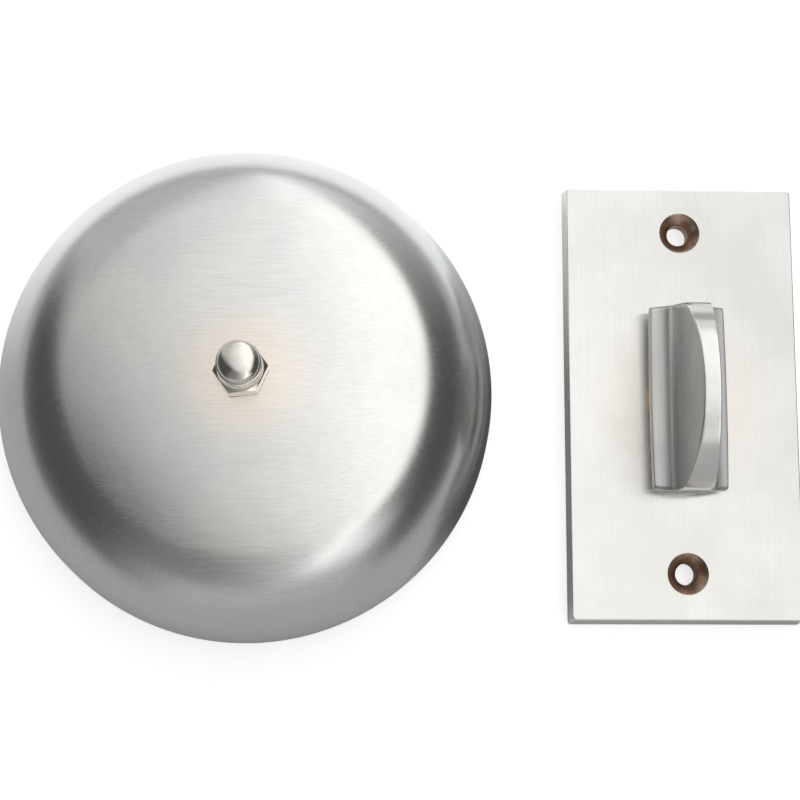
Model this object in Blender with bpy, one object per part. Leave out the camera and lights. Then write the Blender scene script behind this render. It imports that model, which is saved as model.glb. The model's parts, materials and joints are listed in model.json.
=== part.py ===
# Hand-turned door bell laid out flat: the gong with its geared striker, and the plate with its turn.
# Lengths are in millimetres here and become metres when a mesh is made. +X runs from the gong to the
# turn plate, +Y up the plate and +Z out of the faces that are screwed to the door.

from math import asin, atan2, cos, hypot, pi, radians, sin, sqrt, tan

import bmesh
import bpy
from mathutils import Matrix

mm = 0.001

# Clearances
seat_gap = 0.3              # between two faces that rest on each other
fit_gap = 0.1               # radial, a shaft in its bore or a spigot in its hole
wheel_gap = 0.5             # axial, beside a turning wheel
backlash = 0.16             # along the pitch circle of each gear pair

# Gong
gong_diameter = 112.0
gong_height = 36.0          # rim to crown
gong_wall = 1.8
gong_standoff = 2.5         # rim to door
skirt_height = 10.0
skirt_lean = radians(4.6)
shoulder_radius = 24.0
rim_ease = 0.4
lug_reach = 46.6            # bell axis to the face that is struck
lug_width = 5.0
lug_height = 3.4
lug_angles = (radians(45), radians(225))

# Post, its spacer and the nut on top
thread_diameter = 6.0
post_spigot_diameter = 8.0
post_foot_diameter = 16.0
foot_thickness = 1.0
post_shoulder_diameter = 9.2
journal_diameter = 7.2
spacer_diameter = 9.6
seat_washer_diameter = 12.0
seat_washer_thickness = 1.0
nut_flats = 10.0
nut_height = 16.0
nut_hex_height = 5.4
nut_groove = 0.7            # height of the neck between the hexagon and the cap
nut_neck_step = 0.35        # depth of that neck
nut_cap_diameter = 8.8
nut_bore_depth = 10.8
thread_engagement = 9.0
nut_turn = radians(6)

# Base plate
base_thickness = 2.0
base_edge = 1.9             # metal left outside the outermost hole
base_screw_inset = 7.0      # edge of the plate to the middle of a screw
base_screw_angles = (radians(90), radians(-10), radians(190))
base_screw_hole = 4.4
base_screw_head = 8.0

# Gear train: drive wheel, layshaft pinion, layshaft wheel, rotor pinion
gear_module = 0.8
pressure_angle = radians(25)
drive_teeth = 48
layshaft_pinion_teeth = 12
layshaft_wheel_teeth = 42
rotor_teeth = 14
drive_offset = 25.0         # bell axis to drive axis
drive_wheel_thickness = 2.4
layshaft_wheel_thickness = 2.0
pinion_overhang = 0.3
level_gap = 1.7             # between the two layers of wheels
drive_journal_diameter = 10.0
drive_pivot_diameter = 4.0
bush_diameter = 13.0
bush_flange_diameter = 17.0
layshaft_diameter = 4.4
layshaft_pivot_diameter = 3.0
layshaft_collar_diameter = 6.8
wheel_window_diameter = 7.0
wheel_windows = 5

# Bridge over the wheels
bridge_width = 10.0
bridge_thickness = 1.5
bridge_clearance = 1.3      # above the upper wheel
pillar_diameter = 6.0
pillar_spigot_diameter = 3.6
pillar_clearance = 0.6      # beside the tips of the wheel
bridge_screw_diameter = 3.0
bridge_screw_length = 6.0
bridge_screw_head_diameter = 5.5
bridge_screw_head_height = 1.6
screw_slot_width = 0.8
screw_slot_depth = 0.8

# Rotor and its two loose strikers
hub_diameter = 12.0
hub_neck_diameter = 10.4
arm_clearance = 0.7         # above the bridge screws
arm_thickness = 1.5
arm_reach = 37.5            # bell axis to striker pin
arm_centre_width = 18.0
arm_end_width = 10.0
pin_diameter = 4.0
pin_head_diameter = 9.6
pin_head_height = 1.0
striker_diameter = 17.0
striker_thickness = 2.5
striker_hole = 7.0
striker_ease = 0.5

# Turn plate
unit_gap = 17.8             # gong rim to the foot of the plate
plate_width = 52.4
plate_height = 101.2
plate_thickness = 5.5
plate_draft = 0.9           # each side, front to back
plate_corner = 0.7
plate_screw_spacing = 80.2
plate_screw_hole = 5.0
plate_screw_head = 9.4
recess_diameter = 19.0
recess_depth = 3.5

# Turn
turn_length = 41.4
turn_width = 17.0
turn_edge = 2.6
turn_standoff = 3.0         # plate to the underside of the turn
turn_height = 22.0          # upper edge of the sides to the top of the ridge
turn_end_height = 8.8       # the same, at the ends
turn_end_bulge = 0.9
turn_side_bulge = 0.3
turn_end_draft = radians(3.6)
ridge_width = 3.7
flank_lean = radians(6)     # flank of the ridge off the upright
scoop_foot = radians(12)    # slope of the hollow at the side of the turn
boss_diameter = 15.0
shank_diameter = 10.8
shank_spigot_diameter = 9.0
shank_spigot_depth = 5.0
shank_end_gap = 0.2
thrust_washer_thickness = 0.8
thrust_washer_diameter = 17.0
clip_thickness = 0.8
clip_diameter = 14.6
clip_lift = 1.1             # door to clip
clip_opening = radians(50)
groove_diameter = 9.2
wave_washer_thickness = 0.4
wave_washer_diameter = 17.6
waves = 3

# Square spindle that joins the two units through a door
spindle_hole = 5.2
drive_socket_depth = 6.4
turn_socket_depth = 10.0

# Finishes: colour, roughness, metallic
satin_nickel = ((0.68, 0.67, 0.65), 0.30, 1.0)
zinc_plate = ((0.60, 0.61, 0.62), 0.38, 1.0)
bright_steel = ((0.56, 0.57, 0.58), 0.28, 1.0)
spring_steel = ((0.32, 0.33, 0.35), 0.40, 1.0)
rolled_brass = ((0.74, 0.55, 0.26), 0.30, 1.0)
red_fibre = ((0.30, 0.07, 0.05), 0.75, 0.0)

# Radii and places that follow from the sizes above
gong_radius = gong_diameter / 2
plate_foot_width = plate_width + 2 * plate_draft
overall_width = gong_diameter + unit_gap + plate_foot_width
gong_x = gong_radius - overall_width / 2
plate_x = overall_width / 2 - plate_foot_width / 2

drive_distance = gear_module * (drive_teeth + layshaft_pinion_teeth) / 2
rotor_distance = gear_module * (layshaft_wheel_teeth + rotor_teeth) / 2
drive_along = (drive_offset**2 - rotor_distance**2 + drive_distance**2) / (2 * drive_distance)
train_setback = sqrt(drive_offset**2 - drive_along**2)
drive_place = (-drive_along, -train_setback)
layshaft_place = (drive_distance - drive_along, -train_setback)
drive_tip = gear_module * (drive_teeth / 2 + 1)
layshaft_tip = gear_module * (layshaft_wheel_teeth / 2 + 1)
pillar_offset = pillar_clearance + pillar_diameter / 2
pillar_places = ((drive_place[0] - drive_tip - pillar_offset, -train_setback),
                 (layshaft_place[0] + layshaft_tip + pillar_offset, -train_setback))
pillar_hole = pillar_spigot_diameter / 2 + fit_gap
base_radius = max(hypot(*place) for place in pillar_places) + pillar_hole + base_edge

# Heights above the door, from the base plate up
foot_bottom = base_thickness + seat_gap
foot_top = foot_bottom + foot_thickness
drive_wheel_bottom = foot_top + wheel_gap
drive_wheel_top = drive_wheel_bottom + drive_wheel_thickness
layshaft_wheel_bottom = drive_wheel_top + level_gap
layshaft_wheel_top = layshaft_wheel_bottom + layshaft_wheel_thickness
rotor_bottom = layshaft_wheel_bottom - pinion_overhang
rotor_teeth_top = layshaft_wheel_top + pinion_overhang
bridge_bottom = layshaft_wheel_top + bridge_clearance
bridge_top = bridge_bottom + bridge_thickness
bridge_screw_top = bridge_top + seat_gap + bridge_screw_head_height
arm_bottom = bridge_screw_top + arm_clearance
arm_top = arm_bottom + arm_thickness
striker_bottom = arm_top + seat_gap
striker_top = striker_bottom + striker_thickness
rotor_top = arm_top + seat_gap
post_shelf = rotor_top + seat_gap
crown_height = gong_standoff + gong_height

# Heights of the turn above the door
turn_bottom = plate_thickness + turn_standoff
turn_shelf = turn_bottom + turn_edge
washer_bottom = plate_thickness + seat_gap
boss_bottom = washer_bottom + thrust_washer_thickness + seat_gap
shank_shoulder = boss_bottom - seat_gap

# Radius of the hollow that carries its foot into the flank of the ridge
scoop_span = (turn_width - ridge_width) / 2 - turn_height * tan(flank_lean)
scoop_radius = scoop_span / (cos(flank_lean) - sin(scoop_foot)
                             - (cos(scoop_foot) - sin(flank_lean)) * tan(flank_lean))


def clear_scene():
    for item in list(bpy.data.objects):
        bpy.data.objects.remove(item, do_unlink=True)


def make_empty(name, place, parent=None):
    empty = bpy.data.objects.new(name, None)
    empty.empty_display_size = 5 * mm
    empty.location = [value * mm for value in place]
    empty.parent = parent
    bpy.context.collection.objects.link(empty)
    return empty


def make_object(name, mesh_builder, parent, place=(0, 0, 0), finish=None, turn=0.0):
    mesh = bpy.data.meshes.new(name)
    bmesh.ops.scale(mesh_builder, vec=(mm, mm, mm), verts=mesh_builder.verts)
    bmesh.ops.recalc_face_normals(mesh_builder, faces=mesh_builder.faces)
    mesh_builder.to_mesh(mesh)
    mesh_builder.free()
    mesh.shade_smooth()
    mesh.set_sharp_from_angle(angle=radians(32))
    item = bpy.data.objects.new(name, mesh)
    item.location = [value * mm for value in place]
    item.rotation_euler.z = turn
    item.parent = parent
    bpy.context.collection.objects.link(item)
    if finish:
        mesh.materials.append(make_material(name, finish))
    return item


def make_material(name, finish):
    colour, roughness, metallic = finish
    material = bpy.data.materials.new(name)
    material.use_nodes = True
    shader = material.node_tree.nodes["Principled BSDF"]
    shader.inputs["Base Color"].default_value = (*colour, 1)
    shader.inputs["Roughness"].default_value = roughness
    shader.inputs["Metallic"].default_value = metallic
    return material


def combine(target, other, operation):
    # The second shape is a guide that only shapes the first.
    other.hide_render = True
    other.display_type = "WIRE"
    boolean = target.modifiers.new(other.name, "BOOLEAN")
    boolean.operation = operation
    boolean.solver = "EXACT"
    boolean.object = other


def even_shading():
    # Flat faces stay flat to the eye beside the edges that a cut leaves.
    for item in bpy.data.objects:
        if any(modifier.type == "BOOLEAN" for modifier in item.modifiers):
            item.modifiers.new("even_shading", "WEIGHTED_NORMAL")


def circle(radius, steps, centre=(0, 0), start=0.0, sweep=2 * pi):
    whole = abs(sweep - 2 * pi) < 1e-9
    count = steps if whole else steps + 1
    angles = [start + sweep * step / steps for step in range(count)]
    return [(centre[0] + radius * cos(angle), centre[1] + radius * sin(angle)) for angle in angles]


def rectangle(width, height, corner, steps=3):
    points = []
    for quarter in range(4):
        across = 1 if quarter in (0, 3) else -1
        along = 1 if quarter < 2 else -1
        centre = (across * (width / 2 - corner), along * (height / 2 - corner))
        points += circle(corner, steps, centre, quarter * pi / 2, pi / 2)
    return points


def turned(profile, steps=32):
    # A closed outline of (radius, height) points turned about Z; points on the axis become one vertex.
    builder = bmesh.new()
    rings = []
    for radius, height in profile:
        if radius < 1e-6:
            rings.append([builder.verts.new((0, 0, height))])
        else:
            rings.append([builder.verts.new((x, y, height)) for x, y in circle(radius, steps)])
    for lower, upper in zip(rings, rings[1:] + rings[:1]):
        for step in range(steps):
            after = (step + 1) % steps
            corners = [lower[step % len(lower)], lower[after % len(lower)],
                       upper[after % len(upper)], upper[step % len(upper)]]
            unique = list(dict.fromkeys(corners))
            if len(unique) > 2:
                builder.faces.new(unique)
    return builder


def sheet(outline, holes, bottom, top):
    # A flat piece between two heights, with its holes cut square through it.
    builder = bmesh.new()
    edges = []
    for loop in [outline, *holes]:
        corners = [builder.verts.new((x, y, bottom)) for x, y in loop]
        for first, second in zip(corners, corners[1:] + corners[:1]):
            edges.append(builder.edges.new((first, second)))
    bmesh.ops.triangle_fill(builder, edges=edges, use_beauty=True, normal=(0, 0, 1))
    raised = bmesh.ops.extrude_face_region(builder, geom=builder.faces[:])
    lifted = [item for item in raised["geom"] if isinstance(item, bmesh.types.BMVert)]
    bmesh.ops.translate(builder, verts=lifted, vec=(0, 0, top - bottom))
    return builder


def loft(loops):
    # Outlines with as many points each, given with their heights, joined into one closed body.
    builder = bmesh.new()
    rings = [[builder.verts.new((x, y, height)) for x, y in outline] for outline, height in loops]
    for lower, upper in zip(rings, rings[1:]):
        for step in range(len(lower)):
            after = (step + 1) % len(lower)
            builder.faces.new((lower[step], lower[after], upper[after], upper[step]))
    builder.faces.new(rings[0][::-1])
    builder.faces.new(rings[-1])
    return builder


def square_socket(name, parent, place, depth, overrun=1.0):
    sides = [(x * spindle_hole / 2, y * spindle_hole / 2) for x, y in ((1, 1), (-1, 1), (-1, -1), (1, -1))]
    return make_object(name, loft([(sides, -overrun), (sides, depth)]), parent, place)


def countersink(hole, head, thickness, overrun=1.0):
    # Cutter for a screw head that lies flush with the upper face.
    slope = (head - hole) / 2
    return [(0, -overrun), (hole / 2, -overrun), (hole / 2, thickness - slope),
            (head / 2 + overrun, thickness + overrun), (0, thickness + overrun)]


# Gong

def gong_curve(inset, shoulder_steps, crown_steps, hole_radius):
    # From the rim up the skirt, round the shoulder and over the crown to the centre hole.
    centre_r = gong_radius - skirt_height * tan(skirt_lean) - shoulder_radius * cos(skirt_lean)
    centre_z = skirt_height - shoulder_radius * sin(skirt_lean)
    rise = gong_height - centre_z
    crown_radius = (centre_r**2 + rise**2 - shoulder_radius**2) / (2 * (rise - shoulder_radius))
    join = atan2(centre_z - gong_height + crown_radius, centre_r)
    reach = shoulder_radius - inset
    skirt_start = gong_radius - inset / cos(skirt_lean)
    points = [(skirt_start - rim_ease * tan(skirt_lean), rim_ease)]
    for step in range(shoulder_steps + 1):
        angle = skirt_lean + (join - skirt_lean) * step / shoulder_steps
        points.append((centre_r + reach * cos(angle), centre_z + reach * sin(angle)))
    crown_reach = crown_radius - inset
    last = pi / 2 - asin(hole_radius / crown_reach)
    for step in range(1, crown_steps + 1):
        angle = join + (last - join) * step / crown_steps
        height = gong_height - crown_radius + crown_reach * sin(angle)
        points.append((crown_reach * cos(angle), height))
    return [(radius, height + gong_standoff) for radius, height in points]


gong_hole = thread_diameter / 2 + fit_gap
outer_curve = gong_curve(0, 8, 4, gong_hole)
inner_curve = gong_curve(gong_wall, 5, 2, gong_hole)


def height_on(curve, radius):
    # Height of a curve over a radius; the curve's points run inwards.
    for (outer_r, outer_z), (inner_r, inner_z) in zip(curve, curve[1:]):
        if inner_r <= radius <= outer_r:
            share = (outer_r - radius) / (outer_r - inner_r)
            return outer_z + share * (inner_z - outer_z)
    return curve[-1][1]


def radius_on(curve, height):
    # Radius of a curve at a height; the curve's points run upwards.
    for (lower_r, lower_z), (upper_r, upper_z) in zip(curve, curve[1:]):
        if lower_z <= height <= upper_z:
            share = (height - lower_z) / (upper_z - lower_z)
            return lower_r + share * (upper_r - lower_r)
    return curve[-1][0]


def make_gong(unit):
    rim = [(inner_curve[0][0] + rim_ease, gong_standoff), (outer_curve[0][0] - rim_ease, gong_standoff)]
    gong = make_object("gong", turned(inner_curve[::-1] + rim + outer_curve, 48), unit,
                       finish=satin_nickel)
    lug_middle = (striker_bottom + striker_top) / 2
    lug_root = radius_on(outer_curve, lug_middle + lug_height / 2) - gong_wall / 4
    half = lug_width / 2
    sides = [(lug_reach, -half), (lug_root, -half), (lug_root, half), (lug_reach, half)]
    for letter, angle in zip("ab", lug_angles):
        block = loft([(sides, lug_middle - lug_height / 2), (sides, lug_middle + lug_height / 2)])
        combine(gong, make_object(f"lug_{letter}", block, unit, turn=angle), "UNION")


def make_gong_seat(unit):
    outer = spacer_diameter / 2
    bore = thread_diameter / 2 + fit_gap
    washer_radius = seat_washer_diameter / 2
    washer_top = height_on(inner_curve, washer_radius) - seat_gap
    washer_bottom = washer_top - seat_washer_thickness
    spacer = [(bore, post_shelf), (outer, post_shelf), (outer, washer_bottom - seat_gap),
              (bore, washer_bottom - seat_gap)]
    make_object("post_spacer", turned(spacer, 20), unit, finish=zinc_plate)
    washer = [(bore, washer_bottom), (washer_radius, washer_bottom), (washer_radius, washer_top),
              (bore, washer_top)]
    make_object("gong_seat_washer", turned(washer, 20), unit, finish=red_fibre)


def make_dome_nut(unit):
    seat = crown_height + seat_gap
    cap_radius = nut_cap_diameter / 2
    neck_radius = cap_radius - nut_neck_step
    groove_top = nut_hex_height + nut_groove
    cap_centre = nut_height - cap_radius
    corner_radius = nut_flats / sqrt(3)
    hexagon = circle(corner_radius, 6)
    nut = make_object("dome_nut", loft([(hexagon, 0), (hexagon, nut_hex_height)]), unit,
                      (0, 0, seat), satin_nickel, nut_turn)
    face_radius = nut_flats / 2 - 0.2
    drop = (corner_radius + 1 - face_radius) * tan(radians(30))
    facing = [(0, 0), (face_radius, 0), (corner_radius + 1, drop),
              (corner_radius + 1, nut_hex_height - drop), (face_radius, nut_hex_height),
              (0, nut_hex_height)]
    combine(nut, make_object("nut_facing", turned(facing, 36), unit, (0, 0, seat)), "INTERSECT")
    cap = [(0, nut_hex_height - 1), (neck_radius, nut_hex_height - 1), (neck_radius, groove_top)]
    cap += circle(cap_radius, 6, (0, cap_centre), 0, pi / 2)[:-1]
    cap += [(0, nut_height)]
    combine(nut, make_object("nut_cap", turned(cap, 24), unit, (0, 0, seat)), "UNION")
    bore_radius = thread_diameter / 2 + fit_gap
    bore = [(0, -1), (bore_radius, -1), (bore_radius, nut_bore_depth - 1), (0, nut_bore_depth)]
    combine(nut, make_object("nut_bore", turned(bore, 24), unit, (0, 0, seat)), "DIFFERENCE")


# Base plate and what is riveted into it

def make_base_plate(unit):
    post_hole = circle(post_spigot_diameter / 2 + fit_gap, 24)
    bush_hole = circle(bush_diameter / 2 + fit_gap, 24, drive_place)
    pivot_hole = circle(layshaft_pivot_diameter / 2 + fit_gap, 16, layshaft_place)
    pillar_holes = [circle(pillar_hole, 16, place) for place in pillar_places]
    holes = [post_hole, bush_hole, pivot_hole, *pillar_holes]
    base = make_object("base_plate", sheet(circle(base_radius, 48), holes, 0, base_thickness), unit,
                       finish=zinc_plate)
    screw_reach = base_radius - base_screw_inset
    for number, angle in enumerate(base_screw_angles):
        place = (screw_reach * cos(angle), screw_reach * sin(angle), 0)
        cutter = turned(countersink(base_screw_hole, base_screw_head, base_thickness), 16)
        combine(base, make_object(f"base_screw_hole_{number}", cutter, unit, place), "DIFFERENCE")


def make_post(unit):
    spigot = post_spigot_diameter / 2
    foot = post_foot_diameter / 2
    shoulder = post_shoulder_diameter / 2
    journal = journal_diameter / 2
    thread = thread_diameter / 2
    shoulder_top = rotor_bottom - seat_gap
    thread_top = crown_height + seat_gap + thread_engagement
    profile = [(0, seat_gap), (spigot, seat_gap), (spigot, foot_bottom), (foot, foot_bottom),
               (foot, foot_top), (shoulder, foot_top), (shoulder, shoulder_top),
               (journal, shoulder_top), (journal, post_shelf - seat_gap), (thread, post_shelf - seat_gap),
               (thread, thread_top - 0.6), (thread - 0.6, thread_top), (0, thread_top)]
    make_object("gong_post", turned(profile, 20), unit, finish=bright_steel)


def make_drive_bush(unit):
    bore = drive_journal_diameter / 2 + fit_gap
    outer = bush_diameter / 2
    flange = bush_flange_diameter / 2
    profile = [(bore, seat_gap), (outer, seat_gap), (outer, foot_bottom), (flange, foot_bottom),
               (flange, foot_top), (bore, foot_top)]
    make_object("drive_bush", turned(profile, 24), unit, (*drive_place, 0), rolled_brass)


def make_bridge(unit):
    left, right = pillar_places[0][0], pillar_places[1][0]
    half = bridge_width / 2
    outline = circle(half, 10, (right, -train_setback), -pi / 2, pi)
    outline += circle(half, 10, (left, -train_setback), pi / 2, pi)
    holes = [circle(bridge_screw_diameter / 2 + fit_gap, 16, place) for place in pillar_places]
    holes.append(circle(drive_pivot_diameter / 2 + fit_gap, 20, drive_place))
    holes.append(circle(layshaft_pivot_diameter / 2 + fit_gap, 16, layshaft_place))
    make_object("bridge", sheet(outline, holes, bridge_bottom, bridge_top), unit, finish=zinc_plate)
    for letter, place in zip("ab", pillar_places):
        make_pillar(f"bridge_pillar_{letter}", unit, place)
        make_bridge_screw(f"bridge_screw_{letter}", unit, place)


def make_pillar(name, unit, place):
    outer = pillar_diameter / 2
    spigot = pillar_spigot_diameter / 2
    bore = bridge_screw_diameter / 2 + fit_gap
    top = bridge_bottom - seat_gap
    bore_bottom = bridge_top + seat_gap - bridge_screw_length - seat_gap
    profile = [(0, seat_gap), (spigot, seat_gap), (spigot, foot_bottom), (outer, foot_bottom),
               (outer, top), (bore, top), (bore, bore_bottom), (0, bore_bottom)]
    make_object(name, turned(profile, 16), unit, (*place, 0), bright_steel)


def make_bridge_screw(name, unit, place):
    shank = bridge_screw_diameter / 2
    head = bridge_screw_head_diameter / 2
    head_bottom = bridge_top + seat_gap
    profile = [(0, head_bottom - bridge_screw_length), (shank, head_bottom - bridge_screw_length),
               (shank, head_bottom), (head, head_bottom), (head, bridge_screw_top - 0.3),
               (head - 0.3, bridge_screw_top), (0, bridge_screw_top)]
    screw = make_object(name, turned(profile, 16), unit, (*place, 0), bright_steel)
    sides = [(x * (head + 1), y * screw_slot_width / 2) for x, y in ((1, 1), (-1, 1), (-1, -1), (1, -1))]
    slot = loft([(sides, bridge_screw_top - screw_slot_depth), (sides, bridge_screw_top + 1)])
    combine(screw, make_object(f"{name}_slot", slot, unit, (*place, 0)), "DIFFERENCE")


# Gear train

def gear_outline(teeth, phase, flank_steps=3):
    # Involute teeth, each thinned by half the backlash; phase is the angle of a tooth's middle.
    pitch = gear_module * teeth / 2
    base = pitch * cos(pressure_angle)
    root = pitch - 1.25 * gear_module
    tip = pitch + gear_module
    half_pitch_angle = (pi * gear_module / 2 - backlash / 2) / (2 * pitch)
    roll_at_pitch = tan(pressure_angle) - pressure_angle
    start = max(base, root)
    flank = []
    for step in range(flank_steps + 1):
        radius = start + (tip - start) * step / flank_steps
        slope = sqrt(max((radius / base)**2 - 1, 0))
        flank.append((radius, half_pitch_angle + roll_at_pitch - (slope - atan2(slope, 1))))
    if root < base:
        flank.insert(0, (root, flank[0][1]))
    points = []
    for tooth in range(teeth):
        middle = phase + 2 * pi * tooth / teeth
        points += [(radius * cos(middle - angle), radius * sin(middle - angle)) for radius, angle in flank]
        points += [(radius * cos(middle + angle), radius * sin(middle + angle))
                   for radius, angle in reversed(flank)]
    return points


def direction(start, end):
    return atan2(end[1] - start[1], end[0] - start[0])


def wheel_holes(bore, teeth, hub_radius):
    # The shaft's hole, and round windows between the hub and the rim of teeth.
    rim = gear_module * (teeth / 2 - 1.25)
    middle = (rim + hub_radius) / 2
    holes = [circle(bore, 20)]
    for window in range(wheel_windows):
        angle = 2 * pi * window / wheel_windows
        centre = (middle * cos(angle), middle * sin(angle))
        holes.append(circle(wheel_window_diameter / 2, 12, centre))
    return holes


def make_drive(axis):
    journal = drive_journal_diameter / 2
    pivot = drive_pivot_diameter / 2
    arbor_bottom = seat_gap
    flange_bottom = drive_wheel_top + seat_gap
    flange_top = layshaft_wheel_bottom - seat_gap
    profile = [(0, arbor_bottom), (journal, arbor_bottom), (journal, flange_bottom),
               (journal + 1.6, flange_bottom), (journal + 1.6, flange_top), (pivot + 1.2, flange_top),
               (pivot + 1.2, bridge_bottom - seat_gap), (pivot, bridge_bottom - seat_gap),
               (pivot, bridge_top), (0, bridge_top)]
    arbor = make_object("drive_arbor", turned(profile, 28), axis, finish=bright_steel)
    socket = square_socket("drive_socket", axis, (0, 0, arbor_bottom), drive_socket_depth)
    combine(arbor, socket, "DIFFERENCE")
    outline = gear_outline(drive_teeth, direction(drive_place, layshaft_place), 2)
    holes = wheel_holes(journal + fit_gap, drive_teeth, journal)
    make_object("drive_wheel", sheet(outline, holes, drive_wheel_bottom, drive_wheel_top), axis,
                finish=rolled_brass)


def make_layshaft(axis):
    shaft = layshaft_diameter / 2
    pivot = layshaft_pivot_diameter / 2
    collar = layshaft_collar_diameter / 2
    pinion_bottom = drive_wheel_bottom - pinion_overhang / 2
    pinion_top = drive_wheel_top + pinion_overhang
    profile = [(0, seat_gap), (pivot, seat_gap), (pivot, foot_bottom), (shaft, foot_bottom),
               (shaft, pinion_top + seat_gap), (collar, pinion_top + seat_gap),
               (collar, layshaft_wheel_bottom - seat_gap), (shaft, layshaft_wheel_bottom - seat_gap),
               (shaft, bridge_bottom - seat_gap), (pivot, bridge_bottom - seat_gap),
               (pivot, bridge_top), (0, bridge_top)]
    make_object("layshaft_arbor", turned(profile, 20), axis, finish=bright_steel)
    bore = shaft + fit_gap
    pinion_phase = direction(layshaft_place, drive_place) + pi / layshaft_pinion_teeth
    outline = gear_outline(layshaft_pinion_teeth, pinion_phase)
    make_object("layshaft_pinion", sheet(outline, [circle(bore, 20)], pinion_bottom, pinion_top), axis,
                finish=bright_steel)
    outline = gear_outline(layshaft_wheel_teeth, direction(layshaft_place, (0, 0)), 2)
    holes = wheel_holes(bore, layshaft_wheel_teeth, collar)
    make_object("layshaft_wheel", sheet(outline, holes, layshaft_wheel_bottom, layshaft_wheel_top), axis,
                finish=rolled_brass)


def arm_outline():
    # A bar with a round middle and round ends, joined by straight tangents.
    middle = arm_centre_width / 2
    end = arm_end_width / 2
    lean = asin((middle - end) / arm_reach)
    side = pi / 2 - lean
    outline = circle(end, 10, (arm_reach, 0), -side, 2 * side)
    outline += circle(middle, 3, (0, 0), side, 2 * lean)
    outline += circle(end, 10, (-arm_reach, 0), pi - side, 2 * side)
    outline += circle(middle, 3, (0, 0), pi + side, 2 * lean)
    return outline


def make_rotor(axis):
    bore = journal_diameter / 2 + fit_gap
    hub = hub_diameter / 2
    neck = hub_neck_diameter / 2
    phase = direction((0, 0), layshaft_place) + pi / rotor_teeth
    teeth = sheet(gear_outline(rotor_teeth, phase), [circle(bore, 24)], rotor_bottom, rotor_teeth_top)
    pinion = make_object("rotor_pinion", teeth, axis, finish=bright_steel)
    neck_bottom = arm_bottom - seat_gap
    hub_profile = [(bore, rotor_teeth_top), (hub, rotor_teeth_top), (hub, neck_bottom),
                   (neck, neck_bottom), (neck, rotor_top), (bore, rotor_top)]
    combine(pinion, make_object("rotor_hub", turned(hub_profile, 24), axis), "UNION")
    pin_holes = [circle(pin_diameter / 2 + fit_gap, 16, (side * arm_reach, 0)) for side in (1, -1)]
    holes = [circle(neck + fit_gap, 24), *pin_holes]
    make_object("rotor_arm", sheet(arm_outline(), holes, arm_bottom, arm_top), axis, finish=zinc_plate)
    for letter, side in (("a", 1), ("b", -1)):
        make_striker_pin(f"striker_pin_{letter}", axis, side * arm_reach)
        slide = make_empty(f"striker_{letter}_slide", (side * arm_reach, 0, 0), axis)
        make_striker(f"striker_{letter}", slide)


def make_striker_pin(name, axis, reach):
    shank = pin_diameter / 2
    head = pin_head_diameter / 2
    head_bottom = striker_top + seat_gap
    profile = [(0, arm_bottom), (shank, arm_bottom), (shank, head_bottom), (head, head_bottom),
               (head, head_bottom + pin_head_height / 2), (head - pin_head_height / 2,
               head_bottom + pin_head_height), (0, head_bottom + pin_head_height)]
    make_object(name, turned(profile, 16), axis, (reach, 0, 0), bright_steel)


def make_striker(name, slide):
    hole = striker_hole / 2
    outer = striker_diameter / 2
    profile = [(hole, striker_bottom), (outer - striker_ease, striker_bottom),
               (outer, striker_bottom + striker_ease), (outer, striker_top - striker_ease),
               (outer - striker_ease, striker_top), (hole, striker_top)]
    make_object(name, turned(profile, 28), slide, finish=rolled_brass)


# Turn plate, turn and what holds it

def make_turn_plate(unit):
    front = rectangle(plate_width, plate_height, plate_corner)
    back = rectangle(plate_foot_width, plate_height + 2 * plate_draft, plate_corner)
    plate = make_object("turn_plate", loft([(back, 0), (front, plate_thickness)]), unit,
                        finish=satin_nickel)
    bore = shank_diameter / 2 + fit_gap
    well = [(0, -1), (recess_diameter / 2, -1), (recess_diameter / 2, recess_depth), (bore, recess_depth),
            (bore, plate_thickness + 1), (0, plate_thickness + 1)]
    combine(plate, make_object("plate_well", turned(well, 28), unit), "DIFFERENCE")
    for name, side in (("plate_screw_hole_top", 1), ("plate_screw_hole_bottom", -1)):
        cutter = turned(countersink(plate_screw_hole, plate_screw_head, plate_thickness), 24)
        place = (0, side * plate_screw_spacing / 2, 0)
        combine(plate, make_object(name, cutter, unit, place), "DIFFERENCE")


def barrel_outline(length, width, end_bulge, side_bulge, steps=6):
    # A rectangle whose four sides bow outwards as shallow arcs, from corner to corner.
    points = []
    half_width, half_length = width / 2, length / 2
    sides = ((half_width, -half_length, 0, 1, length, side_bulge),
             (half_width, half_length, -1, 0, width, end_bulge),
             (-half_width, half_length, 0, -1, length, side_bulge),
             (-half_width, -half_length, 1, 0, width, end_bulge))
    for x, y, along_x, along_y, span, bulge in sides:
        for step in range(steps):
            share = step / steps
            bow = 4 * bulge * share * (1 - share)
            points.append((x + along_x * span * share + along_y * bow,
                           y + along_y * span * share - along_x * bow))
    return points


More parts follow.
